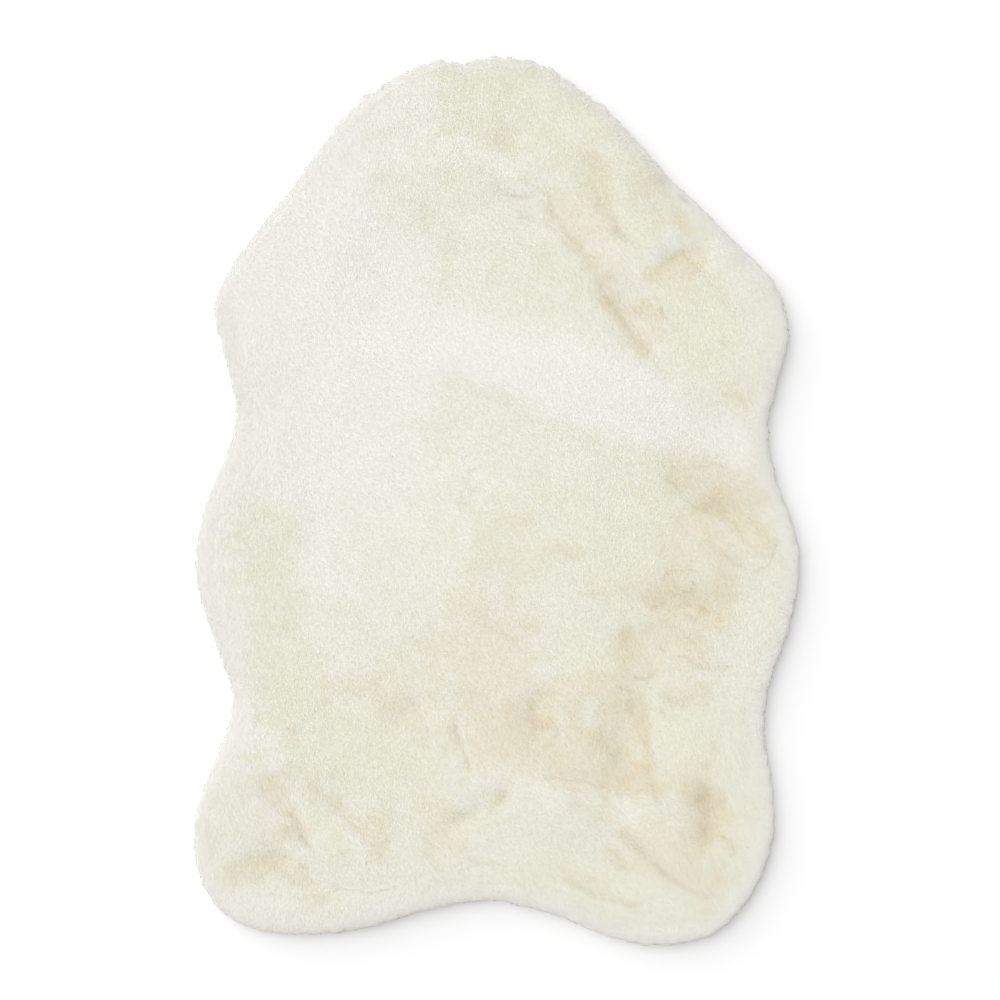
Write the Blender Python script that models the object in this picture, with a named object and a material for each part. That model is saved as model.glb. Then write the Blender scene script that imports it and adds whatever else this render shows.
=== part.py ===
"""Sheepskin rug: a pelt-shaped rug of short dense pile, lying flat.

Frame: metres, +Z up, +Y to the neck end, +X to the right as seen from above. The origin is
under the middle of the rug's box, on the surface that the rug lies on.
"""

import math
import random
from typing import NamedTuple

import bmesh
import bpy
from mathutils import Vector, geometry, kdtree, noise

MM = 0.001

COLLECTION = "sheepskin_rug"
NODE = "sheepskin"

# Driving dimensions, in millimetres
LENGTH = 900.0  # neck end to tail end, over the pile
PILE_TOP = 24.0  # height of the level pile
WAIST_HEIGHT = 7.0  # height of the widest point of the rim
SOLE_INSET = 7.0  # from the rim to where the rug meets the surface
ROLL = 26.0  # how far in from the rim the pile has risen to its full height
ROLL_POWER = 2.2  # 2 is a quarter ellipse, more is squarer

# Rim locks
LOCK_WIDTH = 20.0
LOCK_WIDTH_SPREAD = 6.0
LOCK_PROUD = 1.8
LOCK_PROUD_SPREAD = 1.1
LOCK_BOW = 1.6  # 1 is a pointed lock, more is rounder
NECK_FROM = 330.0  # from here to the neck end the locks grow
NECK_SPAN = 80.0
NECK_GROWTH = 0.8
LOCK_SEED = 11
POINTS_PER_LOCK = 4
NORMAL_REACH = 6.0  # evens out the short chords of the outline

# Surface mesh
CURVE_STEPS = 16  # between two outline points
FIELD_STEP = 16.0
FIELD_INSET = 30.0
FIELD_RING_INSET = 19.0
FIELD_RING_LOCK_SHARE = 0.2
CREASE_STEP = 9.0
CREASE_ROWS = (-1.3, 0.0, 1.3)  # in half widths from the crease's line
SOLE_STEP = 60.0
CLEARANCE = 0.62  # of a step, kept between a field point and any other point
MERGE_GAP = 1e-6

# Soft lumps of the pile
LUMP_SIZE = 42.0
LUMP_HEIGHT = 1.3

IVORY = (0.805, 0.783, 0.665, 1.0)


class RimRing(NamedTuple):
    """One ring around the rim, with how much of the locks' shape it takes."""

    inset: float
    lock_share: float


RIM_RINGS = (
    RimRing(inset=0.0, lock_share=1.0),
    RimRing(inset=3.0, lock_share=0.8),
    RimRing(inset=9.0, lock_share=0.45),
)


class Place(NamedTuple):
    """A point that the outline passes through, in millimetres."""

    name: str
    x: float
    y: float


OUTLINE = (
    Place("neck top", 4, 448),
    Place("neck right", 44, 440),
    Place("neck shoulder right", 87, 413),
    Place("neck slope right", 129, 378),
    Place("slope break right", 171, 331),
    Place("slope right", 206, 297),
    Place("slope foot right", 250, 253),
    Place("shoulder corner right", 282, 218),
    Place("shoulder right", 296, 170),
    Place("shoulder foot right", 285, 118),
    Place("upper waist right", 275, 77),
    Place("waist foot right", 283, 22),
    Place("flank rise right", 301, -27),
    Place("flank right", 307, -73),
    Place("flank fall right", 296, -130),
    Place("waist rise right", 277, -185),
    Place("lower waist right", 271, -233),
    Place("hip rise right", 279, -290),
    Place("hip right", 280, -341),
    Place("hip corner right", 261, -395),
    Place("tail corner right", 222, -438),
    Place("tail right", 168, -451),
    Place("tail slope right", 114, -442),
    Place("tail foot right", 61, -421),
    Place("tail notch", -5, -406),
    Place("tail foot left", -72, -416),
    Place("tail slope left", -135, -434),
    Place("tail left", -209, -440),
    Place("tail corner left", -266, -426),
    Place("hip corner left", -299, -385),
    Place("hip left", -306, -330),
    Place("hip rise left", -292, -279),
    Place("lower waist left", -272, -230),
    Place("waist rise left", -268, -193),
    Place("flank fall left", -286, -142),
    Place("flank left", -304, -76),
    Place("flank rise left", -297, -12),
    Place("waist foot left", -274, 46),
    Place("upper waist left", -264, 89),
    Place("shoulder foot left", -276, 150),
    Place("shoulder left", -285, 199),
    Place("shoulder corner left", -261, 248),
    Place("slope left", -209, 314),
    Place("neck slope left", -158, 383),
    Place("neck shoulder left", -112, 422),
    Place("neck left", -67, 443),
    Place("neck dent", -34, 442),
)


class Relief(NamedTuple):
    """A swell (height above 0) or a hollow or crease (below 0) of the pile.

    x, y is its middle, along and across its half sizes, in millimetres, and turn the way
    it runs, in degrees from +X towards +Y.
    """

    name: str
    x: float
    y: float
    along: float
    across: float
    turn: float
    height: float


SWELLS = (
    Relief("shoulder swell", 90, 117, 150, 33, -17, 5.5),
    Relief("neck ridge", -17, 324, 52, 14, -22, 3.0),
    Relief("slope ridge", 150, 262, 60, 14, -57, 2.5),
    Relief("tail swell", 49, -314, 62, 34, -10, 5.5),
    Relief("left hip swell", -262, -318, 58, 26, -62, 3.0),
    Relief("tail left swell", -170, -362, 50, 22, -38, 3.0),
    Relief("right hip swell", 170, -330, 70, 24, -58, 2.5),
)

HOLLOWS = (
    Relief("neck hollow", 14, 364, 24, 16, 0, -2.5),
    Relief("slope hollow", 104, 318, 34, 14, -72, -3.5),
    Relief("slope edge hollow", 187, 286, 26, 13, -65, -2.5),
    Relief("shoulder hollow", 188, 243, 34, 14, 12, -4.5),
    Relief("shoulder spot", 247, 99, 17, 12, -20, -2.5),
    Relief("left neck hollow", -54, 278, 40, 16, 0, -2.5),
    Relief("long crease end", 140, 177, 40, 18, -57, -4.0),
    Relief("flank hollow", 225, -12, 56, 26, -28, -7.0),
    Relief("belly hollow", 196, -110, 60, 22, -5, -6.0),
    Relief("belly foot", 150, -147, 40, 14, 0, -3.0),
    Relief("middle hollow", 4, -182, 100, 80, 0, -3.0),
    Relief("middle spot", 42, -221, 28, 16, 90, -4.0),
    Relief("waist hollow", 133, -248, 58, 24, 86, -6.0),
    Relief("hip hollow", 216, -314, 36, 16, 90, -7.0),
    Relief("left flank hollow", -209, -101, 95, 42, -66, -3.0),
    Relief("left waist hollow", -84, -215, 26, 18, 20, -3.0),
    Relief("left hip hollow", -208, -312, 42, 16, -57, -6.0),
    Relief("inner hip hollow", -145, -321, 48, 13, -46, -4.0),
    Relief("tail crescent", -14, -312, 34, 13, 38, -5.0),
    Relief("tail corner hollow", -238, -367, 32, 16, 15, -4.5),
    Relief("tail hollow", -202, -380, 30, 14, -38, -4.0),
)

CREASES = (
    Relief("long crease", 105, 223, 100, 9, -57, -5.0),
    Relief("short crease", 127, 269, 30, 8, -54, -3.0),
    Relief("flank crease", 258, -62, 26, 7, 14, -3.5),
    Relief("waist crease", 108, -291, 56, 8, -14, -4.5),
    Relief("middle crease", -36, -248, 26, 7, -72, -3.5),
    Relief("hip crease", 174, -373, 52, 7, -34, -4.0),
    Relief("tail crease right", 101, -397, 46, 7, -17, -3.0),
    Relief("tail crease left", -169, -393, 60, 6, 3, -2.5),
)

RELIEFS = SWELLS + HOLLOWS + CREASES


def remove_all():
    """Remove every object of the open scene."""
    for item in list(bpy.data.objects):
        bpy.data.objects.remove(item, do_unlink=True)


def through(before, start, end, after, t):
    """Catmull-Rom point between start and end, at t from 0 to 1."""
    linear = (end - before) * t
    square = (2 * before - 5 * start + 4 * end - after) * t * t
    cubic = (3 * start - before - 3 * end + after) * t**3
    return 0.5 * (2 * start + linear + square + cubic)


def smooth_outline(places):
    """Close a smooth curve through the places, as a list of points."""
    corners = [Vector((place.x, place.y)) for place in places]
    count = len(corners)
    curve = []
    for i in range(count):
        span = [corners[(i + k) % count] for k in (-1, 0, 1, 2)]
        curve += [through(*span, step / CURVE_STEPS) for step in range(CURVE_STEPS)]
    return curve


def running_length(curve):
    """Distance along the closed curve to each of its points, then its whole length."""
    total = 0.0
    lengths = [total]
    for start, end in zip(curve, curve[1:] + curve[:1]):
        total += (end - start).length
        lengths.append(total)
    return lengths


class Walker:
    """Gives the points and outward normals of a closed curve by distance along it."""

    def __init__(self, curve):
        self.curve = curve
        self.lengths = running_length(curve)
        self.total = self.lengths[-1]
        self.turns_left = sum(a.cross(b) for a, b in zip(curve, curve[1:] + curve[:1])) > 0

    def point(self, distance):
        """Point at a distance along the curve."""
        distance %= self.total
        low, high = 0, len(self.curve)
        while high - low > 1:
            middle = (low + high) // 2
            if self.lengths[middle] <= distance:
                low = middle
            else:
                high = middle
        share = (distance - self.lengths[low]) / (self.lengths[low + 1] - self.lengths[low])
        return self.curve[low].lerp(self.curve[(low + 1) % len(self.curve)], share)

    def normal(self, distance):
        """Outward unit normal at a distance along the curve."""
        ahead, behind = self.point(distance + NORMAL_REACH), self.point(distance - NORMAL_REACH)
        run = (ahead - behind).normalized()
        out = Vector((run.y, -run.x))
        return out if self.turns_left else -out


class RimPoint(NamedTuple):
    """A place on the rim, its outward normal and how far a lock stands proud there."""

    spot: Vector
    out: Vector
    proud: float


def neck_growth(spot):
    """How much longer the locks are at a spot of the rim: more towards the neck end."""
    share = min(1.0, max(0.0, (spot.y - NECK_FROM) / NECK_SPAN))
    return 1.0 + NECK_GROWTH * share


def lay_locks(walker):
    """Divide the rim into locks of uneven width and give POINTS_PER_LOCK points to each."""
    chance = random.Random(LOCK_SEED)
    count = round(walker.total / LOCK_WIDTH)
    widths = [LOCK_WIDTH + chance.uniform(-1, 1) * LOCK_WIDTH_SPREAD for _ in range(count)]
    stretch = walker.total / sum(widths)
    rim = []
    start = 0.0
    for width in widths:
        proud = LOCK_PROUD + chance.uniform(-1, 1) * LOCK_PROUD_SPREAD
        for step in range(POINTS_PER_LOCK):
            share = step / POINTS_PER_LOCK
            distance = start + share * width * stretch
            spot = walker.point(distance)
            bow = 1.0 - abs(2.0 * share - 1.0) ** LOCK_BOW
            rim.append(RimPoint(spot, walker.normal(distance), proud * bow * neck_growth(spot)))
        start += width * stretch
    return rim


def ring_points(rim, inset, lock_share):
    """Ring at an inset from the middle of the locks' length, in the plane."""
    return [p.spot + p.out * (p.proud * lock_share - LOCK_PROUD / 2 - inset) for p in rim]


def rolled_height(inset):
    """Height of the pile over the rounded rim, before the relief."""
    across = max(0.0, 1.0 - inset / ROLL)
    rise = (1.0 - across**ROLL_POWER) ** (1.0 / ROLL_POWER)
    return WAIST_HEIGHT + (PILE_TOP - WAIST_HEIGHT) * rise


def relief_height(x, y):
    """Height that the swells, hollows, creases and soft lumps add at a place."""
    height = LUMP_HEIGHT * noise.noise(Vector((x, y, 0.0)) / LUMP_SIZE)
    for form in RELIEFS:
        turn = math.radians(form.turn)
        dx, dy = x - form.x, y - form.y
        along = (dx * math.cos(turn) + dy * math.sin(turn)) / form.along
        across = (dy * math.cos(turn) - dx * math.sin(turn)) / form.across
        height += form.height * math.exp(-(abs(along) ** 3) - across**2)
    return height


def pile_height(spot, inset):
    """Height of the pile at a place that lies inset from the rim."""
    fade = min(1.0, inset / ROLL)
    return rolled_height(inset) + relief_height(spot.x, spot.y) * fade


def tree_of(points):
    """Nearest-point lookup over points in the plane."""
    tree = kdtree.KDTree(len(points))
    for i, point in enumerate(points):
        tree.insert((point.x, point.y, 0.0), i)
    tree.balance()
    return tree


def gap_to(tree, spot):
    """Distance from a spot to the nearest point of a tree."""
    return tree.find((spot.x, spot.y, 0.0))[2]


def inside(curve, spot):
    """Whether a spot lies inside a closed curve, by the crossings of a ray along +X."""
    crossings = 0
    for start, end in zip(curve, curve[1:] + curve[:1]):
        if (start.y > spot.y) != (end.y > spot.y):
            cross = start.x + (spot.y - start.y) / (end.y - start.y) * (end.x - start.x)
            crossings += cross > spot.x
    return crossings % 2 == 1


def crease_points():
    """Points along each crease: on its line, and on both sides of it."""
    points = []
    for crease in CREASES:
        turn = math.radians(crease.turn)
        run = Vector((math.cos(turn), math.sin(turn)))
        side = Vector((-run.y, run.x))
        steps = max(2, round(2 * crease.along / CREASE_STEP))
        for step in range(steps + 1):
            place = (2 * step / steps - 1) * crease.along
            for row in CREASE_ROWS:
                middle = Vector((crease.x, crease.y))
                points.append(middle + run * place + side * row * crease.across)
    return points


def triangle_field(curve, step, clear_of, inset):
    """Points of an even triangular grid inside a curve, clear of points already laid."""
    rim_tree = tree_of(curve)
    laid = tree_of(clear_of) if clear_of else None
    rise = step * math.sqrt(3) / 2
    rows = range(math.ceil(min(p.y for p in curve) / rise), math.floor(LENGTH / 2 / rise) + 1)
    low = min(p.x for p in curve)
    columns = math.ceil((max(p.x for p in curve) - low) / step)
    points = []
    for row in rows:
        for column in range(columns):
            spot = Vector((low + (column + row % 2 / 2) * step, row * rise))
            if gap_to(rim_tree, spot) < inset or not inside(curve, spot):
                continue
            if laid and gap_to(laid, spot) < CLEARANCE * step:
                continue
            points.append(spot)
    return points


def spaced(points, least):
    """Drop the points that lie closer than the least gap to one already kept."""
    kept = []
    for point in points:
        if all((point - other).length >= least for other in kept):
            kept.append(point)
    return kept


def fill(ring, field):
    """Triangles over a ring and the field points in it. The ring's points come first."""
    count = len(ring)
    edges = [(i, (i + 1) % count) for i in range(count)]
    inside_only = 1
    filled = geometry.delaunay_2d_cdt(ring + field, edges, [], inside_only, MERGE_GAP)
    points, faces, origins = filled[0], filled[2], filled[3]
    assert len(points) == count + len(field)
    return [[origins[i][0] for i in face] for face in faces]


class Shaper:
    """Lays points in the rug's frame, and keeps the mesh that they make."""

    def __init__(self, outer):
        """Put the middle of the outer ring's box over the origin, at the rug's length."""
        xs = [point.x for point in outer]
        ys = [point.y for point in outer]
        self.middle = Vector(((min(xs) + max(xs)) / 2, (min(ys) + max(ys)) / 2))
        self.scale = LENGTH / (max(ys) - min(ys))
        self.mesh = bmesh.new()

    def point(self, spot, height):
        """New vertex over a spot of the outline's plane."""
        at = (spot - self.middle) * self.scale
        return self.mesh.verts.new((at.x * MM, at.y * MM, height * MM))

    def cap(self, ring, ring_verts, field, height):
        """Triangles over a ring that is laid already, through the field's new points."""
        verts = ring_verts + [self.point(spot, height(spot)) for spot in field]
        for face in fill(ring, field):
            self.mesh.faces.new([verts[i] for i in face])

    def band(self, lower, upper):
        """Triangles between two rings with the same number of points."""
        for i, (near, far) in enumerate(zip(lower, upper)):
            j = (i + 1) % len(lower)
            self.mesh.faces.new((near, lower[j], upper[j]))
            self.mesh.faces.new((near, upper[j], far))


def top_field(outline, rim):
    """Points of the upper surface inside the rim: a ring, the creases and an even field."""
    ring = ring_points(rim[::2], FIELD_RING_INSET, FIELD_RING_LOCK_SHARE)
    creases = [point for point in crease_points() if inside(outline, point)]
    field = spaced(ring + creases, CREASE_STEP * CLEARANCE)
    return field + triangle_field(outline, FIELD_STEP, field, FIELD_INSET)


def build_sheepskin():
    """One closed solid: flat underneath, lumpy on top, with locks round its rim."""
    outline = smooth_outline(OUTLINE)
    outline_tree = tree_of(outline)
    rim = lay_locks(Walker(outline))
    shaper = Shaper(ring_points(rim, RIM_RINGS[0].inset, RIM_RINGS[0].lock_share))

    ring = ring_points(rim, SOLE_INSET, 0.0)
    laid = [shaper.point(spot, 0.0) for spot in ring]
    shaper.cap(ring, laid, triangle_field(ring, SOLE_STEP, [], SOLE_STEP / 2), lambda spot: 0.0)
    for level in RIM_RINGS:
        ring = ring_points(rim, level.inset, level.lock_share)
        upper = [shaper.point(spot, pile_height(spot, level.inset)) for spot in ring]
        shaper.band(laid, upper)
        laid = upper
    shaper.cap(
        ring,
        laid,
        top_field(outline, rim),
        lambda spot: pile_height(spot, gap_to(outline_tree, spot)),
    )

    bmesh.ops.recalc_face_normals(shaper.mesh, faces=shaper.mesh.faces)
    for face in shaper.mesh.faces:
        face.smooth = face.normal.z > -0.9
    mesh = bpy.data.meshes.new(NODE)
    shaper.mesh.to_mesh(mesh)
    shaper.mesh.free()
    return bpy.data.objects.new(NODE, mesh)


def pile_material():
    """Ivory pile: matt, with no metal in it."""
    material = bpy.data.materials.new("ivory_pile")
    material.use_nodes = True
    shader = material.node_tree.nodes["Principled BSDF"]
    shader.inputs["Base Color"].default_value = IVORY
    shader.inputs["Roughness"].default_value = 0.92
    shader.inputs["Metallic"].default_value = 0.0
    material.diffuse_color = IVORY
    return material


def main():
    """Build the rug in its own collection."""
    remove_all()
    collection = bpy.data.collections.new(COLLECTION)
    bpy.context.scene.collection.children.link(collection)
    sheepskin = build_sheepskin()
    sheepskin.data.materials.append(pile_material())
    collection.objects.link(sheepskin)


main()
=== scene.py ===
"""Sheepskin rug, dressed: a pelt-shaped rug of short dense ivory pile, seen from above.

Lengths in the tables are in millimetres in the rug's own frame: +X right, +Y to the neck
end, +Z up, with the origin under the middle of the rug's box. Meshes are in metres.
"""

from __future__ import annotations

import logging
import math
import random
from dataclasses import dataclass
from enum import Enum
from typing import Any, ClassVar, NamedTuple, Sequence

import bpy
import numpy as np
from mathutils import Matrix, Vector, geometry, noise


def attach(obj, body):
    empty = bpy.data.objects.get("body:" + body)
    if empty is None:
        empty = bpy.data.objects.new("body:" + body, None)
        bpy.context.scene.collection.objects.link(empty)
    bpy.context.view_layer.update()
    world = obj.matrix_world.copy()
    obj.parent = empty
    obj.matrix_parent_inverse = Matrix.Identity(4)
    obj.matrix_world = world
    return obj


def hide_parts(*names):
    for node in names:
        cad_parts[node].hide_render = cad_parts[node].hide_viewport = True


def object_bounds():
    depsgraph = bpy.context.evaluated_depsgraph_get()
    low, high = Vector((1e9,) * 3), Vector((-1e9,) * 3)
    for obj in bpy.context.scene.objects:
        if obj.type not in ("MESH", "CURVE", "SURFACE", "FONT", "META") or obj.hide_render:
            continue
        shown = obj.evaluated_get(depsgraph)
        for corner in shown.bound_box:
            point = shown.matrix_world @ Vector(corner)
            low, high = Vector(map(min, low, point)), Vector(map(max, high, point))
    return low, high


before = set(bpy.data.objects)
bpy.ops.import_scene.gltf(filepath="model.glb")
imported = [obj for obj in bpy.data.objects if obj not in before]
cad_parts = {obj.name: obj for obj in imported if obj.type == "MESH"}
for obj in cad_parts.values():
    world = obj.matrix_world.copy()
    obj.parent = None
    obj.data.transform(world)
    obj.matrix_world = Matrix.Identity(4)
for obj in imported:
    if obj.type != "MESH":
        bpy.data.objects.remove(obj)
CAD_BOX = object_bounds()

Array = np.ndarray
Colour = tuple[float, float, float]

LOG = logging.getLogger("sheepskin_rug")
MM = 0.001
BODY = "root"
NODE = "sheepskin"
SHORTEST = 1e-12  # a length that is divided by is never less
SAME_SPOT = 1e-6  # points closer than this, in millimetres, are one


class Place(NamedTuple):
    """A point that the outline passes through, in millimetres."""

    name: str
    x: float
    y: float


OUTLINE = (
    Place("neck top", 4, 448),
    Place("neck right", 44, 440),
    Place("neck shoulder right", 87, 413),
    Place("neck slope right", 129, 378),
    Place("slope break right", 171, 331),
    Place("slope right", 206, 297),
    Place("slope foot right", 250, 253),
    Place("shoulder corner right", 282, 218),
    Place("shoulder right", 296, 170),
    Place("shoulder foot right", 285, 118),
    Place("upper waist right", 275, 77),
    Place("waist foot right", 283, 22),
    Place("flank rise right", 301, -27),
    Place("flank right", 307, -73),
    Place("flank fall right", 296, -130),
    Place("waist rise right", 277, -185),
    Place("lower waist right", 271, -233),
    Place("hip rise right", 279, -290),
    Place("hip right", 280, -341),
    Place("hip corner right", 261, -395),
    Place("tail corner right", 222, -438),
    Place("tail right", 168, -451),
    Place("tail slope right", 114, -442),
    Place("tail foot right", 61, -421),
    Place("tail notch", -5, -406),
    Place("tail foot left", -72, -416),
    Place("tail slope left", -135, -434),
    Place("tail left", -209, -440),
    Place("tail corner left", -266, -426),
    Place("hip corner left", -299, -385),
    Place("hip left", -306, -330),
    Place("hip rise left", -292, -279),
    Place("lower waist left", -272, -230),
    Place("waist rise left", -268, -193),
    Place("flank fall left", -286, -142),
    Place("flank left", -304, -76),
    Place("flank rise left", -297, -12),
    Place("waist foot left", -274, 46),
    Place("upper waist left", -264, 89),
    Place("shoulder foot left", -276, 150),
    Place("shoulder left", -285, 199),
    Place("shoulder corner left", -261, 248),
    Place("slope left", -209, 314),
    Place("neck slope left", -158, 383),
    Place("neck shoulder left", -112, 422),
    Place("neck left", -67, 443),
    Place("neck dent", -34, 442),
)


class Form(NamedTuple):
    """A broad swell, hollow or crease of the pile, as the frame's solid has it.

    x, y is its middle, along and across its half sizes, in millimetres, turn the way it
    runs, in degrees from +X towards +Y, and height what it adds to the pile, in
    millimetres.
    """

    name: str
    x: float
    y: float
    along: float
    across: float
    turn: float
    height: float


SWELLS = (
    Form("shoulder swell", 90, 117, 150, 33, -17, 5.5),
    Form("neck ridge", -17, 324, 52, 14, -22, 3.0),
    Form("slope ridge", 150, 262, 60, 14, -57, 2.5),
    Form("tail swell", 49, -314, 62, 34, -10, 5.5),
    Form("left hip swell", -262, -318, 58, 26, -62, 3.0),
    Form("tail left swell", -170, -362, 50, 22, -38, 3.0),
    Form("right hip swell", 170, -330, 70, 24, -58, 2.5),
)

HOLLOWS = (
    Form("neck hollow", 14, 364, 24, 16, 0, -2.5),
    Form("slope hollow", 104, 318, 34, 14, -72, -3.5),
    Form("slope edge hollow", 187, 286, 26, 13, -65, -2.5),
    Form("shoulder hollow", 188, 243, 34, 14, 12, -4.5),
    Form("shoulder spot", 247, 99, 17, 12, -20, -2.5),
    Form("left neck hollow", -54, 278, 40, 16, 0, -2.5),
    Form("long crease end", 140, 177, 40, 18, -57, -4.0),
    Form("flank hollow", 225, -12, 56, 26, -28, -7.0),
    Form("belly hollow", 196, -110, 60, 22, -5, -6.0),
    Form("belly foot", 150, -147, 40, 14, 0, -3.0),
    Form("middle hollow", 4, -182, 100, 80, 0, -3.0),
    Form("middle spot", 42, -221, 28, 16, 90, -4.0),
    Form("waist hollow", 133, -248, 58, 24, 86, -6.0),
    Form("hip hollow", 216, -314, 36, 16, 90, -7.0),
    Form("left flank hollow", -209, -101, 95, 42, -66, -3.0),
    Form("left waist hollow", -84, -215, 26, 18, 20, -3.0),
    Form("left hip hollow", -208, -312, 42, 16, -57, -6.0),
    Form("inner hip hollow", -145, -321, 48, 13, -46, -4.0),
    Form("tail crescent", -14, -312, 34, 13, 38, -5.0),
    Form("tail corner hollow", -238, -367, 32, 16, 15, -4.5),
    Form("tail hollow", -202, -380, 30, 14, -38, -4.0),
)

CREASES = (
    Form("long crease", 105, 223, 100, 9, -57, -5.0),
    Form("short crease", 127, 269, 30, 8, -54, -3.0),
    Form("flank crease", 258, -62, 26, 7, 14, -3.5),
    Form("waist crease", 108, -291, 56, 8, -14, -4.5),
    Form("middle crease", -36, -248, 26, 7, -72, -3.5),
    Form("hip crease", 174, -373, 52, 7, -34, -4.0),
    Form("tail crease right", 101, -397, 46, 7, -17, -3.0),
    Form("tail crease left", -169, -393, 60, 6, 3, -2.5),
)


class Mark(NamedTuple):
    """A tone or a fine crease of the pile along a path, in millimetres.

    width is how far it reaches either side of the path. warmth takes the wool towards
    beige, dull towards greenish ivory or, below zero, towards pale ivory, partly painted
    highlight, and shade towards the deeper wool that a parting shows, partly painted shade
    in creases and partings, each from 0 to 1. height is what it adds to the pile.
    """

    name: str
    path: tuple[tuple[float, float], ...]
    width: float
    warmth: float = 0.0
    dull: float = 0.0
    shade: float = 0.0
    height: float = 0.0


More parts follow.
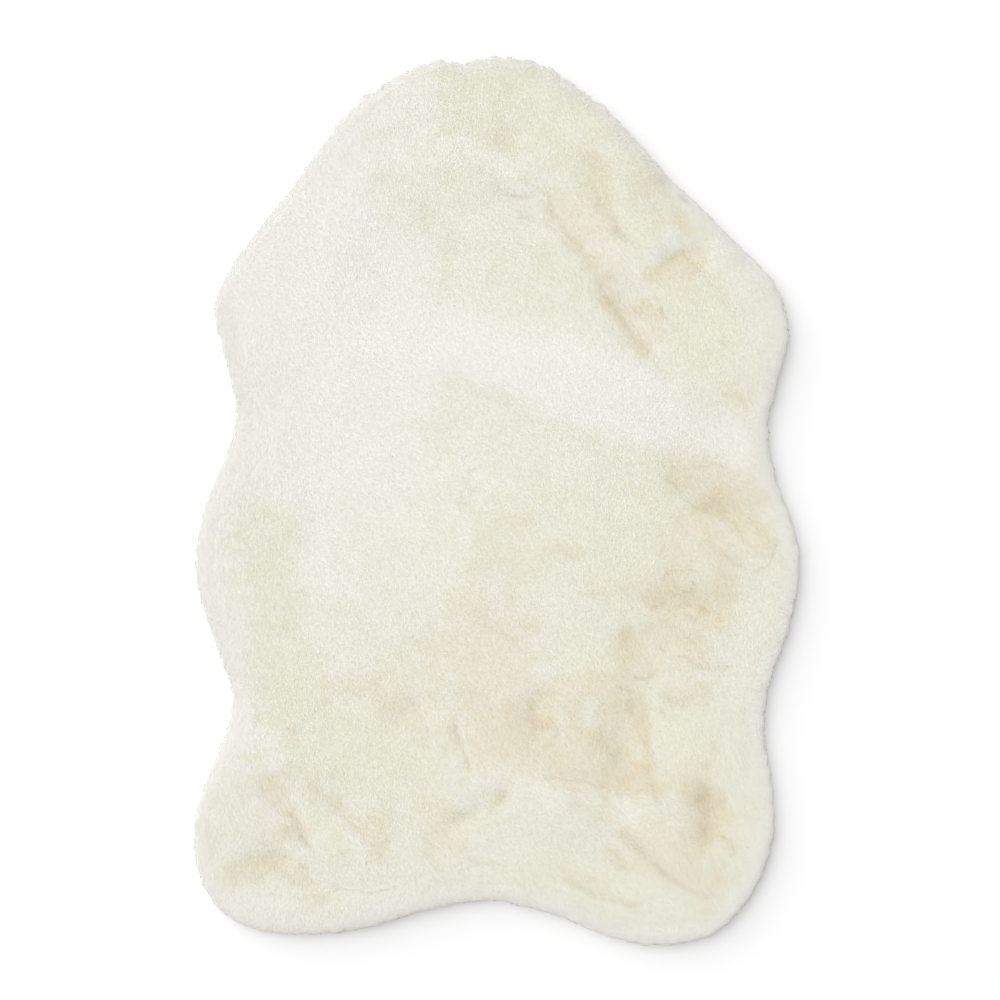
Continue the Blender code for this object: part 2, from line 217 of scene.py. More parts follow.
MARKS = (
    # Greenish ivory
    Mark("neck right dull", ((-25, 405), (49, 393), (115, 340)), 50, dull=1),
    Mark(
        "neck end dull",
        ((-67, 432), (-34, 431), (4, 437), (42, 428), (86, 398)),
        20, dull=0.5, shade=0.04,
    ),
    Mark("neck left dull", ((-67, 314), (-17, 269), (44, 228)), 42, dull=0.65),
    Mark("neck blotch 1", ((-63, 332), (-49, 322)), 11, dull=0.35),
    Mark("neck blotch 2", ((-70, 286), (-67, 272), (-39, 266)), 9, dull=0.45, shade=0.03),
    Mark("crease left dull", ((64, 241), (105, 182)), 26, dull=0.62),
    Mark("swell top dull", ((-47, 211), (95, 177)), 26, dull=0.55),
    Mark("slope dull", ((130, 299), (145, 264)), 26, dull=1),
    # Dull tone with painted shade along the rim of the upper right slope.
    Mark("edge dull and painted shade", ((156, 309), (196, 269)), 16, dull=0.8, shade=0.14),
    Mark("shoulder dull", ((196, 213), (206, 152)), 34, dull=1),
    Mark("belly top dull", ((-42, 81), (64, 39), (145, 10)), 34, dull=0.6),
    Mark("belly dull", ((4, -30), (95, -51), (145, -46)), 44, dull=0.75),
    Mark("left flank dull", ((-232, -35), (-224, -111), (-209, -193), (-197, -233)), 30, dull=1),
    Mark("left waist dull", ((-174, -134), (-118, -174), (-98, -193)), 40, dull=0.5),
    Mark("left hip dull", ((-159, -243), (-78, -274)), 46, dull=1),
    Mark("inner hip dull", ((-148, -304), (-93, -340)), 26, dull=0.7),
    Mark("hip ridge dull", ((-181, -316), (-154, -355)), 16, dull=0.9),
    Mark("middle dull", ((77, -150), (103, -174)), 24, dull=0.9),
    Mark("waist dull", ((178, -225), (196, -269)), 30, dull=1),
    Mark("tail corner dull", ((-252, -373), (-219, -367), (-187, -395)), 26, dull=0.45),
    Mark("tail middle dull", ((88, -307), (105, -316)), 14, dull=1, shade=0.1),
    Mark("tail dull", ((44, -370), (105, -385), (186, -355)), 24, dull=0.7),
    Mark("tail olive", ((74, -378), (103, -385)), 10, dull=0.8, warmth=0.2, shade=0.04),
    Mark("centre dull", ((-98, 0), (-67, -101)), 61, dull=0.35),
    Mark("neck hollow dull", ((4, 318), (44, 318), (80, 282)), 24, dull=0.6),
    Mark("middle left dull", ((-57, -191), (-47, -207)), 13, dull=0.6, warmth=0.12),
    Mark("middle foot dull", ((-29, -241), (-26, -259)), 10, dull=0.6, warmth=0.12),
    Mark("crescent foot", ((-31, -322), (-13, -327), (2, -319)), 7, dull=0.6, shade=0.1),
    Mark("left rim dull", ((-297, -294), (-296, -327), (-290, -355)), 11, dull=0.7, shade=0.05),
    Mark(
        "left lobe dull",
        ((-268, -294), (-252, -326), (-238, -353)),
        22, dull=0.45, warmth=0.08,
    ),
    # Pale ivory: paler wool, and painted highlight on swells, ridges and shaded slopes
    Mark("swell pale", ((-98, 172), (-17, 154), (64, 130), (145, 103)), 30, dull=-0.6),
    Mark("swell foot pale", ((64, 101), (145, 76), (242, 56)), 21, dull=-0.7),
    Mark("neck ridge pale", ((-37, 363), (-7, 343), (29, 312)), 6.5, dull=-0.4),
    Mark("neck fold pale", ((19, 294), (49, 278), (80, 255)), 6, dull=-0.2),
    Mark("left pale", ((-169, 46), (-118, 30)), 36, dull=-0.35),
    Mark("tail swell pale", ((29, -334), (69, -316), (110, -334)), 26, dull=-0.1),
    Mark("tail lip pale", ((-35, -304), (-15, -287), (12, -274)), 9, dull=-0.1),
    Mark("waist lip pale", ((44, -289), (95, -299), (135, -310)), 8, dull=-0.35),
    Mark("left hip ridge pale", ((-274, -304), (-223, -347), (-169, -381)), 11, dull=-0.05),
    Mark("right side pale", ((259, -101), (249, -182)), 22, dull=-0.15),
    Mark("neck left pale", ((-78, 430), (-73, 405), (-67, 381)), 13, dull=-0.5),
    # Painted highlight over the shaded slope of the shoulder hollow.
    Mark("shoulder painted highlight", ((158, 243), (174, 252), (190, 257)), 8, dull=-0.45),
    # A real rise, paler as painted highlight over the shaded slope of the middle spot.
    Mark("middle rise", ((12, -203), (25, -211)), 11, dull=-0.5, height=1.2),
    # Peach and beige
    Mark("neck peach", ((2, 363), (39, 367)), 16, warmth=0.07),
    Mark("neck peach core", ((2, 359), (11, 355)), 6, warmth=0.3),
    Mark("slope beige", ((98, 342), (105, 316), (106, 299)), 9, warmth=0.38),
    Mark("slope peach", ((88, 342), (108, 279)), 19, warmth=0.24),
    Mark("crease beige", ((82, 256), (98, 230), (111, 208)), 6, warmth=0.2),
    Mark("crease foot beige", ((113, 203), (130, 180), (148, 157)), 10, warmth=0.7),
    Mark("crease tail beige", ((149, 191), (157, 179), (162, 167)), 8, warmth=0.45),
    Mark("crease peach", ((64, 289), (90, 258), (115, 228), (140, 191)), 14, warmth=0.34),
    Mark("shoulder beige", ((168, 233), (186, 243), (200, 235)), 7, warmth=0.65),
    Mark("shoulder peach", ((161, 223), (196, 241)), 15, warmth=0.42),
    Mark("edge beige", ((147, 324), (166, 314)), 10, warmth=0.4),
    Mark("edge foot beige", ((185, 283), (193, 275)), 8, warmth=0.5),
    Mark("shoulder spot", ((245, 101), (250, 97)), 5, warmth=0.4),
    Mark("shoulder spot halo", ((236, 108), (253, 99)), 12, warmth=0.16),
    Mark("flank left beige", ((182, 24), (196, 10), (207, -5)), 10, warmth=0.38),
    Mark("flank core", ((228, 3), (237, -12), (256, -26)), 12, warmth=0.68),
    Mark("flank foot beige", ((242, -20), (264, -36)), 12, warmth=0.22),
    Mark("flank peach", ((184, 32), (221, 25), (252, -12), (263, -41)), 24, warmth=0.28),
    Mark("flank to belly", ((218, -41), (229, -76), (233, -114)), 13, warmth=0.45),
    Mark("belly core", ((158, -101), (196, -99), (222, -105)), 11, warmth=0.62),
    Mark("belly right beige", ((227, -81), (235, -118)), 9, warmth=0.45),
    Mark("belly foot beige", ((174, -120), (212, -124)), 11, warmth=0.52),
    Mark("belly peach", ((115, -99), (206, -93)), 21, warmth=0.15),
    Mark("belly ledge", ((178, -75), (195, -83)), 6, warmth=0.3),
    Mark("belly left olive", ((134, -140), (141, -158)), 8, warmth=0.6, shade=0.05),
    Mark("belly low peach", ((127, -152), (161, -142), (198, -157)), 17, warmth=0.42),
    Mark("middle top peach", ((4, -73), (20, -114)), 28, warmth=0.17),
    Mark(
        "middle right peach",
        ((54, -209), (74, -195), (97, -189), (125, -190), (146, -168)),
        14, warmth=0.3,
    ),
    Mark("middle peach", ((-19, -142), (4, -208)), 40, warmth=0.34),
    Mark("middle foot peach", ((4, -238), (64, -248), (105, -269)), 33, warmth=0.45),
    Mark("middle left peach", ((-93, -182), (-57, -164)), 26, warmth=0.1),
    Mark("middle core", ((45, -212), (51, -237)), 11, warmth=0.7),
    Mark("waist left beige", ((114, -215), (108, -243), (121, -272)), 12, warmth=0.34),
    Mark("waist right beige", ((144, -193), (152, -241), (158, -284)), 8, warmth=0.75),
    Mark("waist low beige", ((113, -278), (161, -290)), 9, warmth=0.6),
    Mark("waist inner peach", ((129, -215), (136, -266)), 16, warmth=0.42),
    Mark("left waist core", ((-87, -213), (-76, -226)), 12, warmth=0.14),
    Mark("left waist halo", ((-98, -201), (-61, -219)), 22, warmth=0.04),
    Mark("left flank peach", ((-169, -191), (-148, -182), (-124, -193)), 11, warmth=0.28),
    Mark("left spot", ((-209, -230), (-203, -243)), 6, warmth=0.35),
    Mark("left hip beige", ((-229, -287), (-209, -314), (-194, -342)), 9, warmth=0.45),
    Mark("left hip halo", ((-236, -277), (-199, -336)), 17, warmth=0.2),
    Mark("crease under peach", ((116, 175), (127, 160)), 9, warmth=0.28),
    Mark("hip right beige", ((229, -308), (231, -349)), 8, warmth=0.32),
    Mark("flank under peach", ((200, -20), (182, -43), (190, -67)), 15, warmth=0.36),
    Mark(
        "middle right peach 2",
        ((70, -193), (97, -187), (125, -190), (146, -168)),
        14, warmth=0.2,
    ),
    Mark(
        "inner hip beige",
        ((-183, -293), (-154, -315), (-129, -339)),
        7, warmth=0.32, shade=0.04,
    ),
    Mark("inner hip peach", ((-128, -326), (-118, -355)), 12, warmth=0.4),
    Mark(
        "tail corner hollow",
        ((-262, -377), (-244, -374), (-223, -365), (-207, -374), (-193, -388), (-183, -398)),
        10, warmth=0.3, dull=0.7, shade=0.09, height=0.6,
    ),
    Mark("tail peach", ((-69, -312), (-47, -340)), 17, warmth=0.33),
    Mark("hip core", ((213, -303), (216, -341)), 11, warmth=0.72),
    Mark("hip head", ((196, -292), (221, -295)), 7, warmth=0.6),
    Mark("hip halo", ((206, -289), (229, -350)), 25, warmth=0.27),
    Mark("tail right peach", ((156, -350), (206, -385)), 22, warmth=0.3),
    Mark("tail spot", ((130, -335), (138, -344)), 7, warmth=0.4),
    Mark("tail right spot", ((117, -357), (131, -370)), 8, warmth=0.3),
    Mark("belly spot 1", ((59, -49), (84, -58)), 9, warmth=0.3),
    Mark("belly spot 2", ((7, -23), (34, -25)), 9, warmth=0.25),
    Mark("belly spot 3", ((124, 11), (146, 6)), 8, warmth=0.15),
    Mark("belly spot 4", ((86, -93), (99, -95)), 6, warmth=0.3, shade=0.04),
    Mark("waist right spot", ((179, -200), (210, -196)), 10, warmth=0.4),
    Mark("middle spot", ((-24, -162), (-12, -167)), 7, warmth=0.18),
    # Fine creases and partings, darkened with painted shade
    Mark("neck fold upper", ((9, 307), (24, 304), (38, 305)), 2, shade=0.62, height=-0.4),
    Mark(
        "long crease head",
        ((24, 323), (52, 308), (57, 290), (70, 271), (85, 254)),
        3, shade=0.36, height=-0.7,
    ),
    Mark("long crease loop", ((66, 259), (74, 251), (82, 248), (85, 257)), 2, shade=0.16),
    Mark(
        "long crease middle",
        ((85, 254), (96, 242), (102, 223), (109, 207)),
        3.5, shade=0.1, height=-0.4,
    ),
    Mark(
        "long crease foot",
        ((108, 217), (114, 204), (125, 191), (135, 176), (145, 162)),
        5, shade=0.25, height=-1.1,
    ),
    Mark(
        "long crease tail",
        ((145, 162), (158, 144), (170, 126)),
        4, shade=0.24, height=-0.6, warmth=0.15,
    ),
    Mark("slope dark end", ((103, 298), (111, 297)), 3, shade=0.36, height=-0.6),
    Mark(
        "short crease",
        ((115, 288), (122, 271), (133, 260), (141, 253)),
        3.5, shade=0.5, height=-0.8,
    ),
    Mark(
        "shoulder crease",
        ((158, 229), (168, 237), (180, 243), (188, 248), (196, 241), (203, 235)),
        3.5, shade=0.22, height=-0.8,
    ),
    Mark(
        "shoulder arm",
        ((205, 231), (216, 218), (231, 201), (244, 184)),
        5, shade=0.17, height=-0.6,
    ),
    Mark("shoulder left arm", ((145, 240), (152, 229), (158, 219)), 5, shade=0.17, height=-0.6),
    Mark("shoulder tick 1", ((227, 162), (230, 155)), 2.5, shade=0.32),
    Mark("shoulder tick 2", ((159, 203), (162, 201)), 2.5, shade=0.45),
    Mark("shoulder tick 3", ((166, 191), (169, 184)), 2.5, shade=0.42),
    Mark("edge dark", ((156, 340), (164, 328), (172, 318)), 5, shade=0.37, height=-0.8),
    Mark("edge dark foot", ((186, 307), (192, 303)), 3, shade=0.46, height=-0.6),
    Mark("shoulder spot dark", ((245, 101), (251, 98)), 3, shade=0.26),
    Mark("neck left tick", ((-44, 370), (-39, 374)), 2.5, shade=0.23),
    Mark("neck ridge shade", ((-3, 326), (4, 312), (12, 306)), 3.5, shade=0.27, height=-0.6),
    Mark(
        "neck hollow left",
        ((-73, 290), (-70, 272), (-57, 267), (-40, 270)),
        5, dull=0.6, shade=0.06, height=-0.6,
    ),
    Mark("neck hollow top", ((-60, 328), (-53, 318)), 5, dull=0.5, shade=0.03),
    Mark("neck fold 2", ((4, 272), (34, 255), (60, 235)), 5, dull=0.4, shade=0.04, height=-0.6),
    Mark("neck fold 1", ((24, 286), (49, 280), (66, 264)), 4, dull=0.8, shade=0.2, height=-0.4),
    Mark("neck fold 3", ((-57, 248), (4, 251), (52, 221)), 6, dull=0.4, shade=0.02, height=-0.4),
    Mark(
        "swell foot shade",
        ((-45, 118), (4, 103), (41, 77), (69, 63), (105, 56), (145, 45), (182, 41)),
        7, dull=0.65, shade=0.03, height=-0.5,
    ),
    Mark(
        "flank top line",
        ((203, 33), (216, 35), (230, 35), (224, 28)),
        2.5, shade=0.36, height=-0.6,
    ),
    Mark(
        "flank left line",
        ((170, 22), (182, 14), (186, 4), (196, -4), (203, -8)),
        2.5, shade=0.32, height=-0.6, warmth=0.2,
    ),
    Mark("flank dark", ((214, -7), (220, -14), (231, -14)), 6, shade=0.383, height=-1.1),
    Mark("flank dark foot", ((231, -14), (241, -24), (251, -39)), 5, shade=0.24, height=-0.6),
    Mark("flank right line", ((259, -12), (264, -27), (269, -35)), 3, shade=0.12),
    Mark("flank low line", ((218, -43), (224, -51), (231, -57)), 3, shade=0.27, height=-0.6),
    Mark(
        "hook crease",
        (
            (231, -57), (241, -64), (252, -70), (262, -72),
            (271, -69), (277, -61), (279, -50), (284, -42),
        ),
        2.5, shade=0.42, height=-0.8,
    ),
    Mark(
        "belly top line",
        ((169, -79), (173, -73), (182, -71), (203, -71)),
        2, shade=0.46, height=-0.7,
    ),
    Mark("belly line 1", ((158, -108), (170, -104)), 2.5, shade=0.46, height=-0.6),
    Mark("belly line 2", ((176, -97), (190, -94), (199, -93)), 2.5, shade=0.3, height=-0.6),
    Mark("belly line 3", ((180, -107), (196, -106)), 2, shade=0.32),
    Mark("belly line 4", ((190, -116), (200, -121)), 2.5, shade=0.5),
    Mark("belly line 5", ((209, -111), (222, -114), (227, -118)), 3, shade=0.46, height=-0.6),
    Mark("belly line 6", ((143, -99), (156, -98)), 2, shade=0.1),
    Mark("belly line 7", ((234, -136), (243, -136)), 2.5, shade=0.65, height=-0.6),
    Mark("belly line 8", ((151, -128), (158, -128)), 2, shade=0.36),
    Mark("belly line 9", ((165, -147), (168, -152)), 2.5, shade=0.5),
    Mark("belly line 10", ((180, -126), (192, -138)), 2.5, shade=0.27),
    Mark(
        "belly left dark",
        ((128, -134), (133, -147), (137, -159)),
        3.5, shade=0.22, height=-0.7,
    ),
    Mark("belly faint line", ((117, -87), (127, -89), (139, -89)), 2, shade=0.08),
    Mark(
        "belly foot line 1",
        ((189, -157), (198, -164), (208, -170), (218, -170), (235, -169)),
        2.5, shade=0.42, height=-0.7,
    ),
    Mark(
        "belly foot line 2",
        ((139, -179), (151, -181), (157, -176)),
        2.5, shade=0.6, height=-0.6, warmth=0.35,
    ),
    Mark(
        "waist spot line",
        ((172, -199), (179, -208), (188, -206), (193, -199)),
        3, shade=0.36, height=-0.4,
    ),
    Mark("waist tick", ((166, -211), (169, -217)), 2.5, shade=0.36),
    Mark(
        "waist band left",
        ((108, -205), (105, -225), (109, -243), (117, -255), (123, -268)),
        4, shade=0.17, height=-0.7,
    ),
    Mark("waist band dark", ((121, -258), (126, -269), (132, -278)), 5, shade=0.27, height=-0.8),
    Mark(
        "waist band middle",
        ((125, -191), (135, -193), (137, -215)),
        3.5, shade=0.4, height=-0.6, warmth=0.25,
    ),
    Mark("waist band right", ((145, -203), (151, -227), (154, -243)), 3, shade=0.19, height=-0.6),
    Mark(
        "waist right dark",
        ((151, -245), (157, -259), (153, -274), (157, -290), (164, -304)),
        3, shade=0.42, height=-0.7,
    ),
    Mark(
        "waist foot line",
        ((55, -278), (72, -281), (89, -283), (105, -289), (117, -294), (133, -295), (147, -292)),
        2.5, shade=0.24, height=-0.8,
    ),
    Mark("waist foot line 2", ((74, -270), (95, -274), (111, -276)), 2.5, shade=0.19),
    Mark("middle core dark", ((41, -232), (50, -229), (60, -230)), 3.5, shade=0.3, height=-0.7),
    Mark("middle core left", ((35, -205), (36, -219), (40, -230)), 3, shade=0.08),
    Mark("middle core line", ((34, -243), (44, -241)), 2, shade=0.23),
    Mark("middle core foot", ((52, -248), (62, -237)), 3, shade=0.36),
    Mark(
        "middle crease",
        ((-42, -228), (-37, -243), (-31, -259), (-28, -270)),
        2.5, shade=0.6, height=-0.8, warmth=0.2,
    ),
    Mark("left waist dark", ((-92, -212), (-85, -207), (-82, -217)), 4.5, shade=0.1, height=-0.3),
    Mark("left waist tick", ((-70, -231), (-67, -238)), 2.5, shade=0.32),
    Mark("left waist tick 2", ((-55, -248), (-52, -252)), 2.5, shade=0.23),
    Mark("left waist tick 3", ((-86, -243), (-78, -243)), 2.5, shade=0.23),
    Mark(
        "tail crescent",
        ((-39, -321), (-25, -321), (-11, -315), (-1, -306), (8, -296), (12, -287)),
        5, dull=0.9, shade=0.36, height=-1.2,
    ),
    Mark("crescent dark", ((2, -304), (8, -297)), 5, shade=0.52, height=-0.6),
    Mark("left hip dark head", ((-215, -294), (-208, -305)), 4, shade=0.23),
    Mark("left hip dark", ((-206, -316), (-199, -328), (-195, -339)), 5, shade=0.44, height=-1.1),
    Mark(
        "left hip dark foot",
        ((-195, -339), (-189, -347), (-182, -354)),
        3.5, shade=0.27, height=-0.6,
    ),
    Mark("left hip top", ((-223, -280), (-211, -270), (-199, -270)), 5, dull=0.65, shade=0.08),
    Mark(
        "inner hip crease",
        ((-177, -294), (-167, -303), (-158, -307)),
        3.5, shade=0.2, height=-0.7,
    ),
    Mark(
        "inner hip crease foot",
        ((-158, -307), (-146, -320), (-136, -332)),
        5, shade=0.1, height=-0.6,
    ),
    Mark(
        "inner hip line",
        ((-134, -343), (-123, -347), (-110, -343)),
        2.5, shade=0.32, height=-0.4,
    ),
    Mark("inner hip line 2", ((-122, -351), (-118, -361)), 4, shade=0.19),
    Mark("tail left tick", ((-157, -355), (-148, -354)), 2.5, shade=0.23),
    Mark("left spot dark", ((-215, -227), (-209, -230), (-199, -228)), 3, shade=0.15),
    Mark(
        "tail wave",
        (
            (-183, -398), (-169, -396), (-157, -391), (-142, -392),
            (-132, -396), (-118, -395), (-101, -389),
        ),
        2, shade=0.32, height=-0.6,
    ),
    Mark("tail wave 2", ((-174, -418), (-165, -419)), 2, shade=0.23),
    Mark("tail corner line", ((-238, -398), (-223, -397)), 2, shade=0.19),
    Mark("tail line", ((-21, -365), (-5, -365), (9, -369)), 2.5, shade=0.27, height=-0.4),
    Mark("tail tick 1", ((-73, -355), (-65, -359)), 3, shade=0.23),
    Mark("tail tick 2", ((-62, -367), (-59, -371)), 3, shade=0.32),
    Mark("hip dark head", ((210, -292), (220, -294)), 4, shade=0.15),
    Mark(
        "hip dark",
        ((212, -304), (220, -310), (215, -324), (217, -339)),
        7, shade=0.328, height=-1.1,
    ),
    Mark("hip dark right", ((229, -294), (228, -306)), 4, shade=0.5),
    Mark("hip foot tick", ((229, -339), (233, -343)), 2.5, shade=0.75),
    Mark("hip right tick", ((238, -343), (240, -355)), 3.5, shade=0.46),
    Mark("hip top tick", ((220, -249), (218, -259), (212, -266)), 4, shade=0.27),
    Mark("hip left tick", ((187, -333), (192, -347)), 3.5, shade=0.23),
    Mark("hip left tick 2", ((188, -354), (193, -357)), 2.5, shade=0.27),
    Mark(
        "diagonal crease head",
        ((121, -334), (133, -339), (141, -343)),
        4, shade=0.23, height=-0.4,
    ),
    Mark(
        "diagonal crease",
        ((131, -347), (145, -353), (158, -365), (168, -375)),
        3, shade=0.42, height=-0.8,
    ),
    Mark(
        "diagonal crease foot",
        ((168, -375), (182, -385), (192, -392), (204, -397), (214, -399)),
        3.5, shade=0.36, height=-0.7,
    ),
    Mark("tail crease head", ((60, -384), (72, -385), (85, -391)), 2.5, shade=0.2, height=-0.6),
    Mark(
        "tail crease",
        ((85, -391), (101, -399), (119, -403), (131, -407), (143, -406)),
        3, shade=0.37, height=-0.7,
    ),
    Mark("tail crease foot", ((133, -409), (145, -418)), 4, shade=0.19),
    Mark("tail right tick 1", ((121, -355), (125, -361)), 3, shade=0.36),
    Mark("tail right tick 2", ((125, -370), (131, -368)), 2.5, shade=0.32),
    Mark("tail right tick 3", ((95, -383), (101, -379)), 2.5, shade=0.19),
    Mark("centre wrinkle 1", ((-40, -1), (-31, -4), (-24, -5)), 2.5, shade=0.22, height=-0.4),
    Mark("centre wrinkle 2", ((-27, 28), (-17, 33)), 2, shade=0.34, height=-0.3),
    Mark("centre wrinkle 3", ((-37, 8), (-21, 11)), 2, shade=0.14),
    Mark("centre wrinkle 4", ((12, 4), (24, 3)), 2, shade=0.23),
    Mark("left tick 1", ((-144, -125), (-138, -128)), 2.5, shade=0.16),
    Mark("left tick 2", ((-120, -161), (-112, -163)), 2.5, shade=0.2),
    Mark("belly olive", ((70, -57), (81, -59)), 4, shade=0.19),
    Mark("belly spot 4 dark", ((87, -95), (97, -95)), 3, shade=0.19),
)


class Slot(Enum):
    """The record's material slots."""

    PILE = "pile"
    BACKING = "backing"


# ---------------------------------------------------------------- shapes in the plane


def smoothstep(low: float, high: float, value: Array) -> Array:
    """Rise smoothly from 0 at low to 1 at high.

    Args:
        low: Where the rise starts.
        high: Where it ends.
        value: The values to place on it.

    Returns:
        The share of the rise at each value.
    """
    share = np.clip((value - low) / (high - low), 0.0, 1.0)
    return share * share * (3.0 - 2.0 * share)


def ease(share: Array) -> Array:
    """A share from 0 to 1, eased so that slope and bend are level at both ends."""
    return share * share * share * (share * (share * 6 - 15) + 10)


def unit(vectors: Array) -> Array:
    """Vectors of length one along these."""
    return vectors / np.maximum(np.linalg.norm(vectors, axis=-1, keepdims=True), SHORTEST)


@dataclass
class SmoothNoise:
    """Smooth random hills over the plane, between about -1 and 1.

    Attributes:
        size: Distance between two hills, in millimetres.
        seed: Seed of the hills' heights.
        lattice: Number of hills each way before they repeat.
    """

    size: float
    seed: int
    lattice: int = 64

    def __post_init__(self) -> None:
        """Draw the heights of the hills."""
        chance = np.random.default_rng(self.seed)
        self.heights = chance.uniform(-1.0, 1.0, (self.lattice, self.lattice))

    def at(self, x: Array, y: Array) -> Array:
        """Height of the hills.

        Args:
            x: Places across, in millimetres.
            y: Places along, in millimetres.

        Returns:
            The height at each place.
        """
        u, v = x / self.size, y / self.size
        i, j = np.floor(u).astype(int), np.floor(v).astype(int)
        across, along = ease(u - i), ease(v - j)
        low, high = self._row(i, j, across), self._row(i, j + 1, across)
        return low + (high - low) * along

    def _row(self, i: Array, j: Array, share: Array) -> Array:
        """Heights between two neighbours of one lattice row.

        Args:
            i: Number of the nearer hill across.
            j: Number of the row.
            share: How far over to the next hill.

        Returns:
            The height at each place.
        """
        near = self.heights[i % self.lattice, j % self.lattice]
        far = self.heights[(i + 1) % self.lattice, j % self.lattice]
        return near + (far - near) * share


@dataclass
class Outline:
    """The pelt's smooth closed outline, in millimetres.

    Attributes:
        places: The points that it passes through.
        steps: Number of chords between two of them.
    """

    places: Sequence[Place]
    steps: int = 16

    def __post_init__(self) -> None:
        """Work out the curve, a Catmull-Rom one, and its running length."""
        corners = np.array([(place.x, place.y) for place in self.places], float)
        before, after = np.roll(corners, 1, 0), np.roll(corners, -1, 0)
        beyond = np.roll(corners, -2, 0)
        t = (np.arange(self.steps) / self.steps)[None, :, None]
        p0, p1, p2, p3 = (p[:, None, :] for p in (before, corners, after, beyond))
        linear = (p2 - p0) * t
        square = (2 * p0 - 5 * p1 + 4 * p2 - p3) * t**2
        cubic = (3 * p1 - p0 - 3 * p2 + p3) * t**3
        self.points = (0.5 * (2 * p1 + linear + square + cubic)).reshape(-1, 2)
        chords = np.roll(self.points, -1, 0) - self.points
        lengths = np.linalg.norm(chords, axis=1)
        self.reach = np.concatenate([[0.0], np.cumsum(lengths)])
        self.total = float(self.reach[-1])

    def at(self, distance: Array) -> Array:
        """Points of the curve.

        Args:
            distance: How far along it they lie, in millimetres.

        Returns:
            The points, one a row.
        """
        distance = np.mod(distance, self.total)
        closed = np.vstack([self.points, self.points[:1]])
        return np.stack([np.interp(distance, self.reach, closed[:, k]) for k in (0, 1)], 1)

    def out(self, distance: Array, reach: float = 6.0) -> Array:
        """Outward unit normals at distances along the curve, which runs clockwise."""
        run = unit(self.at(distance + reach) - self.at(distance - reach))
        return np.stack([-run[:, 1], run[:, 0]], 1)

    def nearest(self, spots: Array) -> tuple[Array, Array]:
        """How far spots lie from the curve.

        Args:
            spots: Places in the plane, one a row.

        Returns:
            The distance to the nearest point of the curve, and that point's place along it.
        """
        gaps = np.empty(len(spots))
        places = np.empty(len(spots))
        batch = 4096
        for start in range(0, len(spots), batch):
            part = spots[start : start + batch]
            apart = np.linalg.norm(part[:, None] - self.points[None], axis=2)
            found = apart.argmin(1)
            gaps[start : start + batch] = apart[np.arange(len(part)), found]
            places[start : start + batch] = self.reach[found]
        return gaps, places

    def holds(self, spots: Array) -> Array:
        """Whether spots lie inside the curve.

        Args:
            spots: Places in the plane, one a row.

        Returns:
            True for each spot that does.
        """
        inside = np.zeros(len(spots), bool)
        ends = np.roll(self.points, -1, 0)
        x, y = spots[:, 0], spots[:, 1]
        for start, end in zip(self.points, ends):
            crosses = (start[1] > y) != (end[1] > y)
            if crosses.any():
                rise = (y - start[1]) / (end[1] - start[1])
                inside ^= crosses & (x < start[0] + rise * (end[0] - start[0]))
        return inside


@dataclass
class Locks:
    """The locks of pile round the rim, brushed flatter than the frame's solid has them.

    Attributes:
        width: Mean width of a lock, in millimetres.
        width_spread: How far it varies either way.
        proud: How far a lock's tip stands out from the notches beside it.
        proud_spread: How far that varies either way.
        bow: 1 is a pointed lock, more is rounder.
        neck_from: From here to the neck end the locks grow.
        neck_span: Length over which they grow.
        neck_growth: How much longer they get, as a share.
        per_lock: Rim points to each lock.
        seed: Seed of their widths and lengths.
    """

    width: float = 20.0
    width_spread: float = 6.0
    proud: float = 1.0
    proud_spread: float = 0.6
    bow: float = 1.6
    neck_from: float = 330.0
    neck_span: float = 80.0
    neck_growth: float = 1.6
    per_lock: int = 8
    seed: int = 11

    def lay(self, outline: Outline) -> tuple[Array, Array, Array]:
        """Divide the outline into locks.

        Args:
            outline: The curve that they stand round.

        Returns:
            The rim's points, their outward normals and how far the pile is proud there.
        """
        chance = random.Random(self.seed)
        count = round(outline.total / self.width)
        spread = self.width_spread
        widths = [self.width + chance.uniform(-1, 1) * spread for _ in range(count)]
        stretch = outline.total / sum(widths)
        shares = np.arange(self.per_lock) / self.per_lock
        distances, prouds = [], []
        start = 0.0
        for width in widths:
            proud = self.proud + chance.uniform(-1, 1) * self.proud_spread
            distances.append(start + shares * width * stretch)
            prouds.append(proud * (1.0 - np.abs(2.0 * shares - 1.0) ** self.bow))
            start += width * stretch
        distance = np.concatenate(distances)
        spots = outline.at(distance)
        growth = np.clip((spots[:, 1] - self.neck_from) / self.neck_span, 0.0, 1.0)
        proud = np.concatenate(prouds) * (1.0 + self.neck_growth * growth)
        return spots, outline.out(distance), proud


